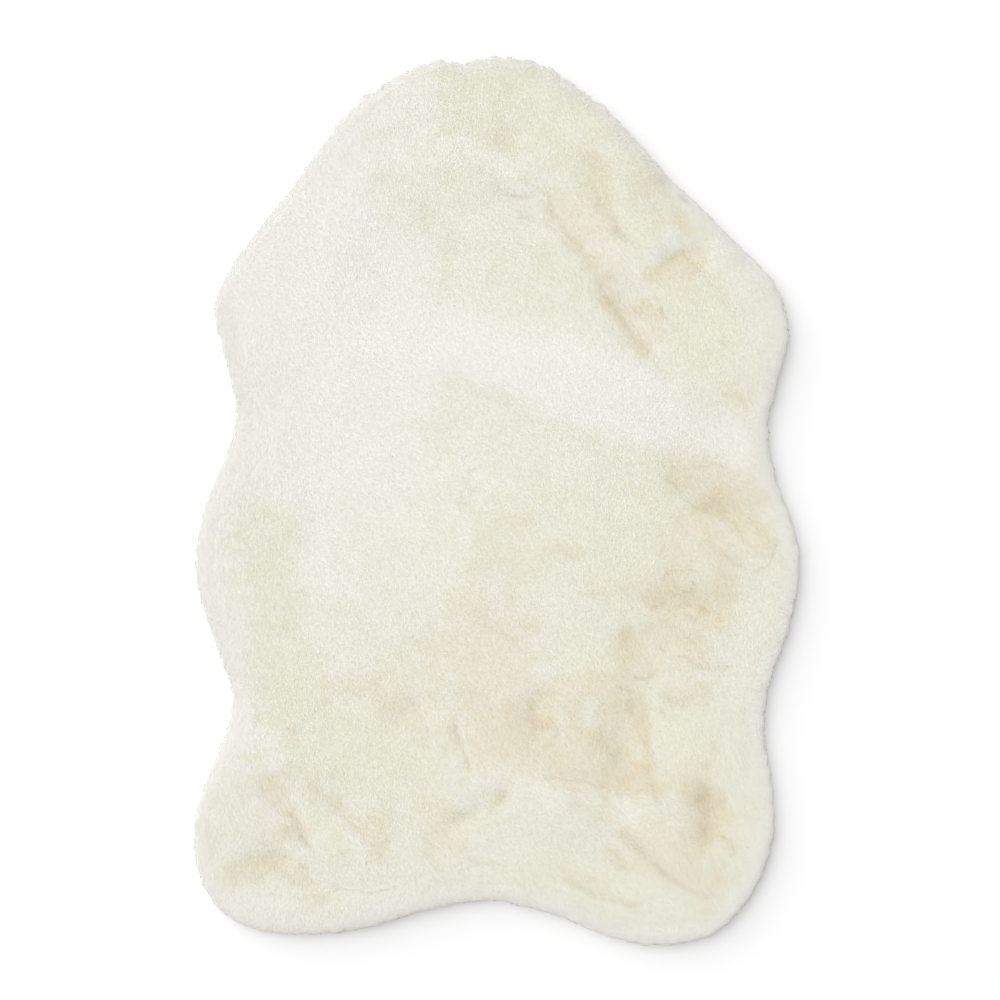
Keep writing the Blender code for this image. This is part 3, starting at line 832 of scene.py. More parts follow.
@dataclass
class Relief:
    """Heights and tones of the pile over the plane.

    Attributes:
        top: Height of the level pile, in millimetres.
        waist: Height of the widest point of the rim.
        roll: How far in from the rim the pile has risen to its full height.
        roll_power: 2 is a quarter ellipse, more is squarer.
        lump_size: Size of the soft lumps.
        lump_height: Their height.
        ripple_height: Height of the fine unevenness of the pile's tips.
        grain_share: Height of the finest of it, as a share of that.
        crease_share: How much of a straight crease shows. The marks' finer lines, which
            are crooked, carry the rest of it.
        reach: A mark is felt to this many of its widths.
        softness: How gently a broad mark fades beyond its width.
        broad: A mark wider than this has a ragged edge.
        ragged_from: What a broad mark has to exceed, with its unevenness, to be felt.
        ragged_to: Where it is felt in full.
        faintest: A broad mark that is fainter than this is left out.
        mottle_share: How uneven the mottle makes a broad mark.
        fray_share: How uneven the finer fraying makes it.
        fray_shift: How far over the fraying for this is taken.
        sway_width: A mark wider than this wanders with the noise.
        sway_power: How fast a finer one gets steadier.
        sway_reach: How far a mark may wander, in millimetres.
        sway_drift: How much of that is a slow drift.
        sway_fray: How much of it is fraying.
        patch_mottle: Share of the mottle in an uneven tone. The rest is fraying.
        patch_most: The most that an uneven tone is raised to.
    """

    top: float = 24.0
    waist: float = 7.0
    roll: float = 26.0
    roll_power: float = 2.2
    lump_size: float = 42.0
    lump_height: float = 1.3
    ripple_height: float = 0.1
    grain_share: float = 0.6
    crease_share: float = 0.4
    reach: float = 2.2
    softness: float = 1.4
    broad: float = 6.0
    ragged_from: float = 0.1
    ragged_to: float = 0.8
    faintest: float = 0.02
    mottle_share: float = 0.2
    fray_share: float = 0.14
    fray_shift: float = 50.0
    sway_width: float = 18.0
    sway_power: float = 1.2
    sway_reach: float = 14.0
    sway_drift: float = 4.0
    sway_fray: float = 4.5
    patch_mottle: float = 0.55
    patch_most: float = 1.25

    def __post_init__(self) -> None:
        """Draw the noises that uneven edges and ripples come from."""
        self.ripple = SmoothNoise(size=11.0, seed=3)
        self.grain = SmoothNoise(size=5.0, seed=4)
        self.drift = (SmoothNoise(size=34.0, seed=5), SmoothNoise(size=34.0, seed=6))
        self.fray = (SmoothNoise(size=9.0, seed=7), SmoothNoise(size=9.0, seed=8))
        self.mottle = SmoothNoise(size=16.0, seed=9)

    def rolled(self, inset: Array) -> Array:
        """Height of the pile over the rounded rim, before the relief.

        Args:
            inset: How far in from the rim the places lie.

        Returns:
            The height at each place.
        """
        across = np.clip(1.0 - inset / self.roll, 0.0, 1.0)
        rise = (1.0 - across**self.roll_power) ** (1.0 / self.roll_power)
        return self.waist + (self.top - self.waist) * rise

    def near(self, form: Form, x: Array, y: Array) -> Array:
        """How much of a form is felt.

        Args:
            form: The form.
            x: Places across, in millimetres.
            y: Places along, in millimetres.

        Returns:
            The share at each place, from 0 to 1.
        """
        turn = math.radians(form.turn)
        dx, dy = x - form.x, y - form.y
        along = (dx * math.cos(turn) + dy * math.sin(turn)) / form.along
        across = (dy * math.cos(turn) - dx * math.sin(turn)) / form.across
        return np.exp(-np.abs(along) ** 3 - across**2)

    def lumps(self, x: Array, y: Array) -> Array:
        """Height of the soft lumps that the frame's solid has too.

        Args:
            x: Places across, in millimetres.
            y: Places along, in millimetres.

        Returns:
            The height at each place.
        """
        size = self.lump_size
        values = [noise.noise(Vector((a, b, 0.0)) / size) for a, b in zip(x, y)]
        return self.lump_height * np.array(values)

    def height(self, x: Array, y: Array, inset: Array) -> Array:
        """Height of the pile.

        Args:
            x: Places across, in millimetres.
            y: Places along, in millimetres.
            inset: How far in from the rim the places lie.

        Returns:
            The height at each place.
        """
        height = self.lumps(x, y)
        for form in SWELLS + HOLLOWS:
            height += form.height * self.near(form, x, y)
        for form in CREASES:
            height += self.crease_share * form.height * self.near(form, x, y)
        for mark in MARKS:
            if mark.height:
                height += mark.height * self.beside(mark, x, y)
        fine = self.ripple.at(x, y) + self.grain_share * self.grain.at(x, y)
        height += self.ripple_height * fine
        return self.rolled(inset) + height * np.minimum(1.0, inset / self.roll)

    def beside(self, mark: Mark, x: Array, y: Array) -> Array:
        """How much of a mark is felt.

        Args:
            mark: The mark.
            x: Places across, in millimetres.
            y: Places along, in millimetres.

        Returns:
            The share at each place, from 0 to 1.
        """
        felt = np.zeros_like(x)
        path = np.array(mark.path, float)
        sway = self.sway(mark)
        margin = self.reach * mark.width + self.sway_reach * sway
        (left, low), (right, high) = path.min(0) - margin, path.max(0) + margin
        here = np.flatnonzero((x > left) & (x < right) & (y > low) & (y < high))
        if not len(here):
            return felt
        x, y = x[here], y[here]
        spots = np.column_stack([x, y])
        for axis, (drift, fray) in enumerate(zip(self.drift, self.fray)):
            shift = self.sway_drift * drift.at(x, y) + self.sway_fray * fray.at(x, y)
            spots[:, axis] += sway * shift
        apart = np.full(len(here), np.inf)
        for start, end in zip(path[:-1], path[1:]):
            run = end - start
            share = np.clip((spots - start) @ run / (run @ run), 0.0, 1.0)
            gap = np.linalg.norm(spots - start - share[:, None] * run, axis=1)
            apart = np.minimum(apart, gap)
        broad = mark.width >= self.broad
        softness = self.softness if broad else 1.0
        felt[here] = np.exp(-((apart / mark.width) ** 2) / softness)
        if broad:
            uneven = self.mottle_share * self.mottle.at(x, y)
            uneven += self.fray_share * self.fray[0].at(x + self.fray_shift, y)
            ragged = smoothstep(self.ragged_from, self.ragged_to, felt[here] + uneven)
            felt[here] = ragged * (felt[here] > self.faintest)
        return felt

    def patchy(self, x: Array, y: Array, middle: float, spread: float) -> Array:
        """An uneven share round a middle one, for tones that aren't flat.

        Args:
            x: Places across, in millimetres.
            y: Places along, in millimetres.
            middle: The middle share.
            spread: How far it goes either way.

        Returns:
            The share at each place.
        """
        uneven = self.patch_mottle * self.mottle.at(x, y)
        uneven += (1.0 - self.patch_mottle) * self.fray[0].at(x, y)
        return np.clip(middle + spread * uneven, 0.0, self.patch_most)

    def sway(self, mark: Mark) -> float:
        """How much a mark's edge wanders, from 0 to 1. A fine one hardly does."""
        return min(1.0, (mark.width / self.sway_width) ** self.sway_power)

    def blend(self, channel: str, x: Array, y: Array, sign: float = 1.0) -> Array:
        """What the marks together do to a tone, from 0 to 1.

        Args:
            channel: The mark's field: warmth, dull or shade.
            x: Places across, in millimetres.
            y: Places along, in millimetres.
            sign: -1 takes the marks where the field is below zero.

        Returns:
            The share at each place.
        """
        clear = np.ones_like(x)
        for mark in MARKS:
            amount = getattr(mark, channel) * sign
            if amount > 0.0:
                clear *= 1.0 - amount * self.beside(mark, x, y)
        return 1.0 - clear


# ---------------------------------------------------------------- meshes


@dataclass
class Surface:
    """A triangle mesh in millimetres, with what the pile needs to know at each point.

    Attributes:
        points: Its points, one a row.
        triangles: Three point numbers a row.
        normals: Outward unit normals at the points.
        inset: How far each point lies in from the rim.
        out: Unit vectors towards the nearest stretch of rim, in the plane.
    """

    points: Array
    triangles: Array
    normals: Array
    inset: Array
    out: Array


def point_normals(points: Array, triangles: Array) -> Array:
    """Area-weighted unit normals of a triangle mesh.

    Args:
        points: Its points, one a row.
        triangles: Three point numbers a row.

    Returns:
        The normal at each point.
    """
    a, b, c = (points[triangles[:, k]] for k in range(3))
    faces = np.cross(b - a, c - a)
    normals = np.zeros_like(points)
    for k in range(3):
        np.add.at(normals, triangles[:, k], faces)
    return unit(normals)


def band(first: int, count: int) -> Array:
    """Triangles between a closed ring of points and the ring over it.

    Args:
        first: Number of the lower ring's first point.
        count: Points in a ring. The upper ring's numbers follow the lower one's.

    Returns:
        The triangles, three point numbers a row.
    """
    near = first + np.arange(count)
    ahead = first + (np.arange(count) + 1) % count
    lower = np.column_stack([ahead, near, ahead + count])
    upper = np.column_stack([near, near + count, ahead + count])
    return np.vstack([lower, upper])


def fill(edge: Array, within: Array) -> Array:
    """Triangles over a closed edge in the plane and the points inside it, facing up.

    Args:
        edge: The edge's points in order, one a row.
        within: The points inside it.

    Returns:
        The triangles, three point numbers a row, counted through edge and then within.
    """
    flat = [Vector(spot) for spot in np.vstack([edge, within])]
    loop = [(i, (i + 1) % len(edge)) for i in range(len(edge))]
    filled = geometry.delaunay_2d_cdt(flat, loop, [], 1, SAME_SPOT)
    numbers = np.array([origin[0] for origin in filled[3]])
    faces = numbers[np.array(filled[2])]
    a, b, c = (np.array(flat)[faces[:, k]] for k in range(3))
    faces_down = np.cross(b - a, c - a) < 0
    faces[faces_down] = faces[faces_down][:, ::-1]
    return faces


def make_object(
    name: str, points: Array, triangles: Array, floats: dict[str, Array] | None = None
) -> bpy.types.Object:
    """Make a smooth mesh object.

    Args:
        name: The piece's name.
        points: Points in metres, one a row.
        triangles: Three point numbers a row.
        floats: Named values for each point, that the material reads.

    Returns:
        The object, linked to the scene.
    """
    mesh = bpy.data.meshes.new(name)
    mesh.vertices.add(len(points))
    mesh.vertices.foreach_set("co", np.ascontiguousarray(points, np.float32).ravel())
    mesh.loops.add(triangles.size)
    mesh.loops.foreach_set("vertex_index", np.ascontiguousarray(triangles, np.int32).ravel())
    mesh.polygons.add(len(triangles))
    starts = np.arange(0, triangles.size, 3, dtype=np.int32)
    mesh.polygons.foreach_set("loop_start", starts)
    mesh.update(calc_edges=True)
    mesh.polygons.foreach_set("use_smooth", np.ones(len(triangles), bool))
    for label, values in (floats or {}).items():
        attribute = mesh.attributes.new(label, "FLOAT", "POINT")
        attribute.data.foreach_set("value", np.ascontiguousarray(values, np.float32))
    piece = bpy.data.objects.new(name, mesh)
    bpy.context.scene.collection.objects.link(piece)
    return piece


def declare(piece: bpy.types.Object) -> bpy.types.Object:
    """Let a piece ride on the rug's body and stand for its solid, which is hidden.

    Args:
        piece: The piece.

    Returns:
        The same piece.
    """
    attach(piece, BODY)
    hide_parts(NODE)
    LOG.info("%s: %d faces", piece.name, len(piece.data.polygons))
    return piece


@dataclass
class PileSurface:
    """The surface that the tips of the pile make, from the rim's underside to the top.

    Attributes:
        outline: The pelt's outline.
        locks: The locks round its rim.
        relief: Heights over the plane.
        rim_below: Inset and height of the rings under the widest point, lowest first.
        rim_above: Insets of the rings over it.
        lock_fade: How far in from the rim the locks' shape has gone.
        step: Distance between two points of the field inside the rings.
        clearance: How far the field stays inside them, as a share of a step.
    """

    outline: Outline
    locks: Locks
    relief: Relief
    rim_below: tuple[tuple[float, float], ...] = (
        (7.5, 0.3),
        (4.2, 1.0),
        (1.8, 2.9),
        (0.4, 5.2),
    )
    rim_above: tuple[float, ...] = (0.0, 0.35, 1.1, 2.3, 4.0, 6.3, 9.2, 12.8, 17.0, 22.0)
    lock_fade: float = 16.0
    step: float = 3.2
    clearance: float = 0.7

    def build(self) -> Surface:
        """Work the surface out.

        Returns:
            The surface, with its middle over the origin.
        """
        spots, out, proud = self.locks.lay(self.outline)
        base = self.locks.proud / 2
        rings = [(inset, np.full(len(spots), z)) for inset, z in self.rim_below]
        rings += [(inset, None) for inset in self.rim_above]
        points, insets, outs = [], [], []
        for inset, height in rings:
            share = max(0.0, 1.0 - inset / self.lock_fade)
            ring = spots + out * (proud * share - base - inset)[:, None]
            if height is None:
                height = self.relief.height(*ring.T, np.full(len(ring), inset))
            points.append(np.column_stack([ring, height]))
            insets.append(np.full(len(ring), inset))
            outs.append(out)
        outer = points[len(self.rim_below)][:, :2]
        count = len(spots)
        triangles = [band(level * count, count) for level in range(len(rings) - 1)]
        field_points, field_inset, field_out = self._field(ring)
        innermost = (len(rings) - 1) * count
        triangles.append(fill(ring, field_points[:, :2]) + innermost)
        points = np.vstack(points + [field_points])
        points[:, :2] -= (outer.min(0) + outer.max(0)) / 2
        points[:, :2] *= (CAD_BOX[1].y - CAD_BOX[0].y) / MM / np.ptp(outer[:, 1])
        triangles = np.vstack(triangles)
        return Surface(
            points=points,
            triangles=triangles,
            normals=point_normals(points, triangles),
            inset=np.concatenate(insets + [field_inset]),
            out=np.vstack(outs + [field_out]),
        )

    def _field(self, ring: Array) -> tuple[Array, Array, Array]:
        """Points of an even triangular field inside the innermost ring.

        Args:
            ring: That ring's points, one a row.

        Returns:
            The points, how far each lies in from the rim, and the way out to it.
        """
        rise = self.step * math.sqrt(3) / 2
        low, high = ring.min(0), ring.max(0)
        rows = np.arange(low[1], high[1], rise)
        columns = np.arange(low[0], high[0], self.step)
        x, y = np.meshgrid(columns, rows)
        x = x + (np.arange(len(rows)) % 2 * self.step / 2)[:, None]
        spots = np.column_stack([x.ravel(), y.ravel()])
        spots = spots[self.outline.holds(spots)]
        gaps, places = self.outline.nearest(spots)
        ring_inset = self.rim_above[-1] + self.locks.proud / 2
        deep = gaps > ring_inset + self.clearance * self.step
        spots, gaps, places = spots[deep], gaps[deep], places[deep]
        height = self.relief.height(spots[:, 0], spots[:, 1], gaps)
        return np.column_stack([spots, height]), gaps, self.outline.out(places)


# ---------------------------------------------------------------- shading


@dataclass(frozen=True)
class Value:
    """A number that a socket carries. Arithmetic on it adds Math nodes."""

    graph: Graph
    socket: bpy.types.NodeSocket

    def __add__(self, other: Value | float) -> Value:
        """Sum."""
        return self.graph.math("ADD", self, other)

    __radd__ = __add__

    def __sub__(self, other: Value | float) -> Value:
        """Difference."""
        return self.graph.math("SUBTRACT", self, other)

    def __rsub__(self, other: Value | float) -> Value:
        """Difference, the other way round."""
        return self.graph.math("SUBTRACT", other, self)

    def __mul__(self, other: Value | float) -> Value:
        """Product."""
        return self.graph.math("MULTIPLY", self, other)

    __rmul__ = __mul__


class Graph:
    """The nodes of one material."""

    def __init__(self, name: str) -> None:
        """Start a material with a Principled shader.

        Args:
            name: The material's name.
        """
        self.material = bpy.data.materials.new(name)
        self.material.use_nodes = True
        self.tree = self.material.node_tree
        self.shader = self.tree.nodes["Principled BSDF"]

    def node(
        self, kind: str, settings: dict[str, Any] | None = None, **inputs: Any
    ) -> bpy.types.Node:
        """Add a node.

        Args:
            kind: The node's type, such as ShaderNodeTexNoise.
            settings: What is set on the node itself, before its sockets.
            **inputs: Values or links of its sockets, by name with _ for a space, or by
                number after an n.

        Returns:
            The node.
        """
        node = self.tree.nodes.new(kind)
        for key, value in (settings or {}).items():
            setattr(node, key, value)
        for key, value in inputs.items():
            numbered = key[0] == "n" and key[1:].isdigit()
            socket = node.inputs[int(key[1:]) if numbered else key.replace("_", " ")]
            self.feed(socket, value)
        return node

    def feed(self, socket: bpy.types.NodeSocket, value: Any) -> None:
        """Link a value's socket to this one, or set it.

        Args:
            socket: The socket that is fed.
            value: A Value, a socket, a colour of three parts or a plain value.
        """
        if isinstance(value, Value):
            value = value.socket
        if isinstance(value, bpy.types.NodeSocket):
            self.tree.links.new(value, socket)
        elif isinstance(value, tuple) and len(value) == 3 and socket.type == "RGBA":
            socket.default_value = (*value, 1.0)
        else:
            socket.default_value = value

    def math(self, operation: str, *values: Value | float) -> Value:
        """Add a Math node.

        Args:
            operation: What it does, such as ADD.
            *values: What it works on, in order.

        Returns:
            Its result.
        """
        inputs = {f"n{i}": value for i, value in enumerate(values)}
        node = self.node("ShaderNodeMath", {"operation": operation}, **inputs)
        return Value(self, node.outputs[0])

    def attribute(self, name: str) -> Value:
        """A named value of the mesh's points."""
        node = self.node("ShaderNodeAttribute", {"attribute_name": name})
        return Value(self, node.outputs["Fac"])

    def mix(self, share: Value | float, first: Any, second: Any) -> bpy.types.NodeSocket:
        """Mix two colours.

        Args:
            share: How much of the second colour there is, from 0 to 1.
            first: The first colour, or its socket.
            second: The second.

        Returns:
            The socket of the mixed colour.
        """
        node = self.node(
            "ShaderNodeMix",
            {"data_type": "RGBA", "clamp_factor": True},
            n0=share,
            n6=first,
            n7=second,
        )
        return node.outputs[2]

    def noise(self, scale: float, detail: float) -> Value:
        """Noise over the object's own coordinates.

        Args:
            scale: How many of its hills go into a metre.
            detail: How many finer layers it has.

        Returns:
            The noise, from 0 to 1 and mostly near a half.
        """
        place = self.node("ShaderNodeTexCoord").outputs["Object"]
        node = self.node("ShaderNodeTexNoise", Vector=place, Scale=scale, Detail=detail)
        return Value(self, node.outputs["Fac"])

    def surface(self, **inputs: Any) -> None:
        """Feed the Principled shader's sockets, by name with _ for a space."""
        for key, value in inputs.items():
            self.feed(self.shader.inputs[key.replace("_", " ")], value)


@dataclass(frozen=True)
class WoolFinish:
    """Ivory wool: paler at its tips, warmer in its hollows, and warmer and darker towards its
    roots as painted shade.

    Attributes:
        name: The material's name.
        ivory: Colour of the brushed tips.
        painted_dusk: Darker ivory of the half that lies away from the light, as painted shade.
        dull: Greenish ivory of the parts that lie duller.
        pale: Paler ivory of the swells and ridges, partly paler wool and partly painted
            highlight.
        beige: Wool of the hollows.
        rim: Greyer wool over the rim, as painted shade, more of it away from the light.
        edge: Paler wool at the very edge, as painted light for the light that shines through its
            fine fibres.
        deep: Darker wool that the partings show, also painted shade in creases and near the
            roots.
        root_shade: How far the roots go towards the deep colour, as painted shade deep in the
            pile.
        strand_spread: How much lighter or darker a strand may be.
        fleck_scale: Scale of the flecks, over a metre.
        fleck_detail: How many finer layers they have.
        fleck_least: How much of the beige shows where there is no fleck.
        fleck_most: How much more of it shows in a fleck.
        roughness: Roughness of the fibres.
        roughness_spread: How much it changes with the flecks.
        sheen: Weight of the soft sheen.
        sheen_roughness: How widely the sheen spreads.
        gloss: Level of the plain reflection.
        fibre_scale: Scale of the single fibres, over a metre.
        fibre_detail: How many finer layers they have.
        fibre_bump: Strength of their bump.
        fibre_depth: Its depth, in metres.
    """

    name: str
    ivory: Colour = (0.84, 0.828, 0.775)
    painted_dusk: Colour = (0.775, 0.762, 0.675)
    dull: Colour = (0.783, 0.775, 0.655)
    pale: Colour = (0.848, 0.835, 0.795)
    beige: Colour = (0.745, 0.675, 0.51)
    rim: Colour = (0.825, 0.823, 0.77)
    edge: Colour = (0.87, 0.867, 0.82)
    deep: Colour = (0.60, 0.54, 0.40)
    root_shade: float = 0.05
    strand_spread: float = 0.008
    fleck_scale: float = 420.0
    fleck_detail: float = 3.0
    fleck_least: float = 0.75
    fleck_most: float = 0.5
    roughness: float = 0.85
    roughness_spread: float = 0.1
    sheen: float = 0.15
    sheen_roughness: float = 0.5
    gloss: float = 0.2
    fibre_scale: float = 1500.0
    fibre_detail: float = 2.0
    fibre_bump: float = 0.05
    fibre_depth: float = 0.0006

    def make(self) -> bpy.types.Material:
        """Make the material.

        Returns:
            The material.
        """
        graph = Graph(self.name)
        fleck = graph.noise(self.fleck_scale, self.fleck_detail)
        warmth = graph.attribute("warmth") * (self.fleck_least + self.fleck_most * fleck)
        # Painted shade: darker ivory over the half that lies away from the light.
        colour = graph.mix(graph.attribute("painted_dusk"), self.ivory, self.painted_dusk)
        colour = graph.mix(graph.attribute("dull"), colour, self.dull)
        # Paler ivory: partly paler wool, partly painted highlight on swells and ridges.
        colour = graph.mix(graph.attribute("pale"), colour, self.pale)
        colour = graph.mix(warmth, colour, self.beige)
        # Painted shade: greyer wool over the rounded rim, most on the side away from the light.
        colour = graph.mix(graph.attribute("rim"), colour, self.rim)
        # Painted light: paler wool at the very edge.
        colour = graph.mix(graph.attribute("edge"), colour, self.edge)
        # Deeper wool in partings and creases: partly darker wool, partly painted shade.
        colour = graph.mix(graph.attribute("shade"), colour, self.deep)
        # Painted shade: darker towards the roots, deep in the pile.
        root = (1.0 - graph.attribute("tip")) * self.root_shade
        colour = graph.mix(root, colour, self.deep)
        light = 1.0 + (graph.attribute("strand") - 0.5) * (2 * self.strand_spread)
        scaled = graph.node("ShaderNodeVectorMath", {"operation": "SCALE"}, n0=colour)
        graph.feed(scaled.inputs["Scale"], light)
        bump = graph.node(
            "ShaderNodeBump",
            Strength=self.fibre_bump,
            Distance=self.fibre_depth,
            Height=graph.noise(self.fibre_scale, self.fibre_detail),
        )
        graph.surface(
            Base_Color=scaled.outputs[0],
            Roughness=self.roughness + (fleck - 0.5) * self.roughness_spread,
            Normal=bump.outputs["Normal"],
            Sheen_Weight=self.sheen,
            Sheen_Roughness=self.sheen_roughness,
            Specular_IOR_Level=self.gloss,
        )
        return graph.material


@dataclass(frozen=True)
class BackingFinish:
    """Plain cream backing cloth with a fine weave.

    Attributes:
        name: The material's name.
        cream: Colour of the threads.
        gap: Colour between them.
        weave_scale: Scale of the threads' bands, which lie about 5 mm apart.
        waver: How much the threads waver.
        slub_scale: Scale of the threads' unevenness, over a metre.
        slub_detail: How many finer layers it has.
        slub_colour: How much of it shows in the colour.
        slub_bump: How much of it shows in the bump.
        bump: Strength of the weave's bump.
        depth: Its depth, in metres.
        roughness: Roughness of the threads.
        gloss: Level of the plain reflection.
    """

    name: str = "backing_cloth"
    cream: Colour = (0.72, 0.68, 0.58)
    gap: Colour = (0.52, 0.48, 0.40)
    weave_scale: float = 62.5
    waver: float = 0.6
    slub_scale: float = 900.0
    slub_detail: float = 3.0
    slub_colour: float = 0.4
    slub_bump: float = 0.3
    bump: float = 0.4
    depth: float = 0.0004
    roughness: float = 0.9
    gloss: float = 0.2

    def make(self) -> bpy.types.Material:
        """Make the material.

        Returns:
            The material.
        """
        graph = Graph(self.name)
        place = graph.node("ShaderNodeTexCoord").outputs["Object"]
        threads = []
        for axis in "XY":
            wave = graph.node(
                "ShaderNodeTexWave",
                {"wave_type": "BANDS", "bands_direction": axis},
                Vector=place,
                Scale=self.weave_scale,
                Distortion=self.waver,
            )
            threads.append(Value(graph, wave.outputs["Fac"]))
        weave = threads[0] * threads[1]
        slub = graph.noise(self.slub_scale, self.slub_detail)
        bump = graph.node(
            "ShaderNodeBump",
            Strength=self.bump,
            Distance=self.depth,
            Height=weave + slub * self.slub_bump,
        )
        graph.surface(
            Base_Color=graph.mix(weave + slub * self.slub_colour, self.gap, self.cream),
            Roughness=self.roughness,
            Normal=bump.outputs["Normal"],
            Specular_IOR_Level=self.gloss,
        )
        return graph.material


@dataclass(frozen=True)
class FloorFinish:
    """Plain pale floor, lit a little from below as a white studio table is.

    Attributes:
        name: The material's name.
        white: Its colour.
        glow: Strength of its own light.
        roughness: Its roughness.
        roughness_spread: How much that changes over the floor.
        grain_scale: Scale of that change, over a metre.
        grain_detail: How many finer layers it has.
    """

    name: str = "pale_floor"
    white: Colour = (0.602, 0.602, 0.602)
    glow: float = 0.25
    roughness: float = 0.8
    roughness_spread: float = 0.05
    grain_scale: float = 3.0
    grain_detail: float = 2.0

    def make(self) -> bpy.types.Material:
        """Make the material.

        Returns:
            The material.
        """
        graph = Graph(self.name)
        grain = graph.noise(self.grain_scale, self.grain_detail)
        graph.surface(
            Base_Color=self.white,
            Roughness=self.roughness + (grain - 0.5) * self.roughness_spread,
            Specular_IOR_Level=0.0,
            Emission_Color=(1.0, 1.0, 1.0),
            Emission_Strength=self.glow,
        )
        return graph.material


# ---------------------------------------------------------------- the rug's pieces


@dataclass
class Backing:
    """The cloth that carries the pile, flat on the floor under it.

    Attributes:
        outline: The pelt's outline.
        inset: How far in from the rim it is cut.
        thickness: Thickness of the cloth.
        lift: Height of its underside.
        points: Points round its edge.
        crisp: Its edges are sharp from this angle, in degrees.
    """

    outline: Outline
    inset: float = 9.0
    thickness: float = 1.5
    lift: float = 0.0
    points: int = 520
    crisp: float = 40.0

    def edge(self) -> Array:
        """Its edge, in the plane, in millimetres."""
        distance = np.arange(self.points) / self.points * self.outline.total
        return self.outline.at(distance) - self.outline.out(distance) * self.inset

    def build(self, pile: Sequence[bpy.types.Object]) -> bpy.types.Object:
        """Make the cloth.

        Args:
            pile: The pieces of pile that it carries. Not used.

        Returns:
            The piece.
        """
        edge = self.edge()
        count = len(edge)
        face = fill(edge, np.empty((0, 2)))
        a, b, c = (edge[face[:, k]] for k in range(3))
        area = float(np.abs(np.cross(b - a, c - a)).sum() / 2) * MM * MM
        low = np.column_stack([edge, np.full(count, self.lift)])
        high = low + (0.0, 0.0, self.thickness)
        triangles = np.vstack([face[:, ::-1], face + count, band(0, count)])
        cloth = make_object("backing", np.vstack([low, high]) * MM, triangles)
        cloth.data.set_sharp_from_angle(angle=math.radians(self.crisp))
        cloth.data.materials.append(BackingFinish().make())
        return declare(cloth)


class Tones(NamedTuple):
    """What the wool's material reads at each point."""

    painted_dusk: Array
    dull: Array
    pale: Array
    warmth: Array
    shade: Array
    rim: Array
    edge: Array


class Slant(NamedTuple):
    """A tone that grows over the rug towards its lower right, which lies away from the light.

    right and down are its pace along +X and -Y, and from low to high, in millimetres of
    the two together, it grows from 0 to 1.
    """

    right: float
    down: float
    low: float
    high: float

    def at(self, x: Array, y: Array, drift: Array | float = 0.0) -> Array:
        """The tone at each place, moved on by a drift."""
        return smoothstep(self.low, self.high, x * self.right - y * self.down + drift)


class Patches(NamedTuple):
    """How uneven a tone is: the middle share of it, and how far that goes either way."""

    middle: float
    spread: float


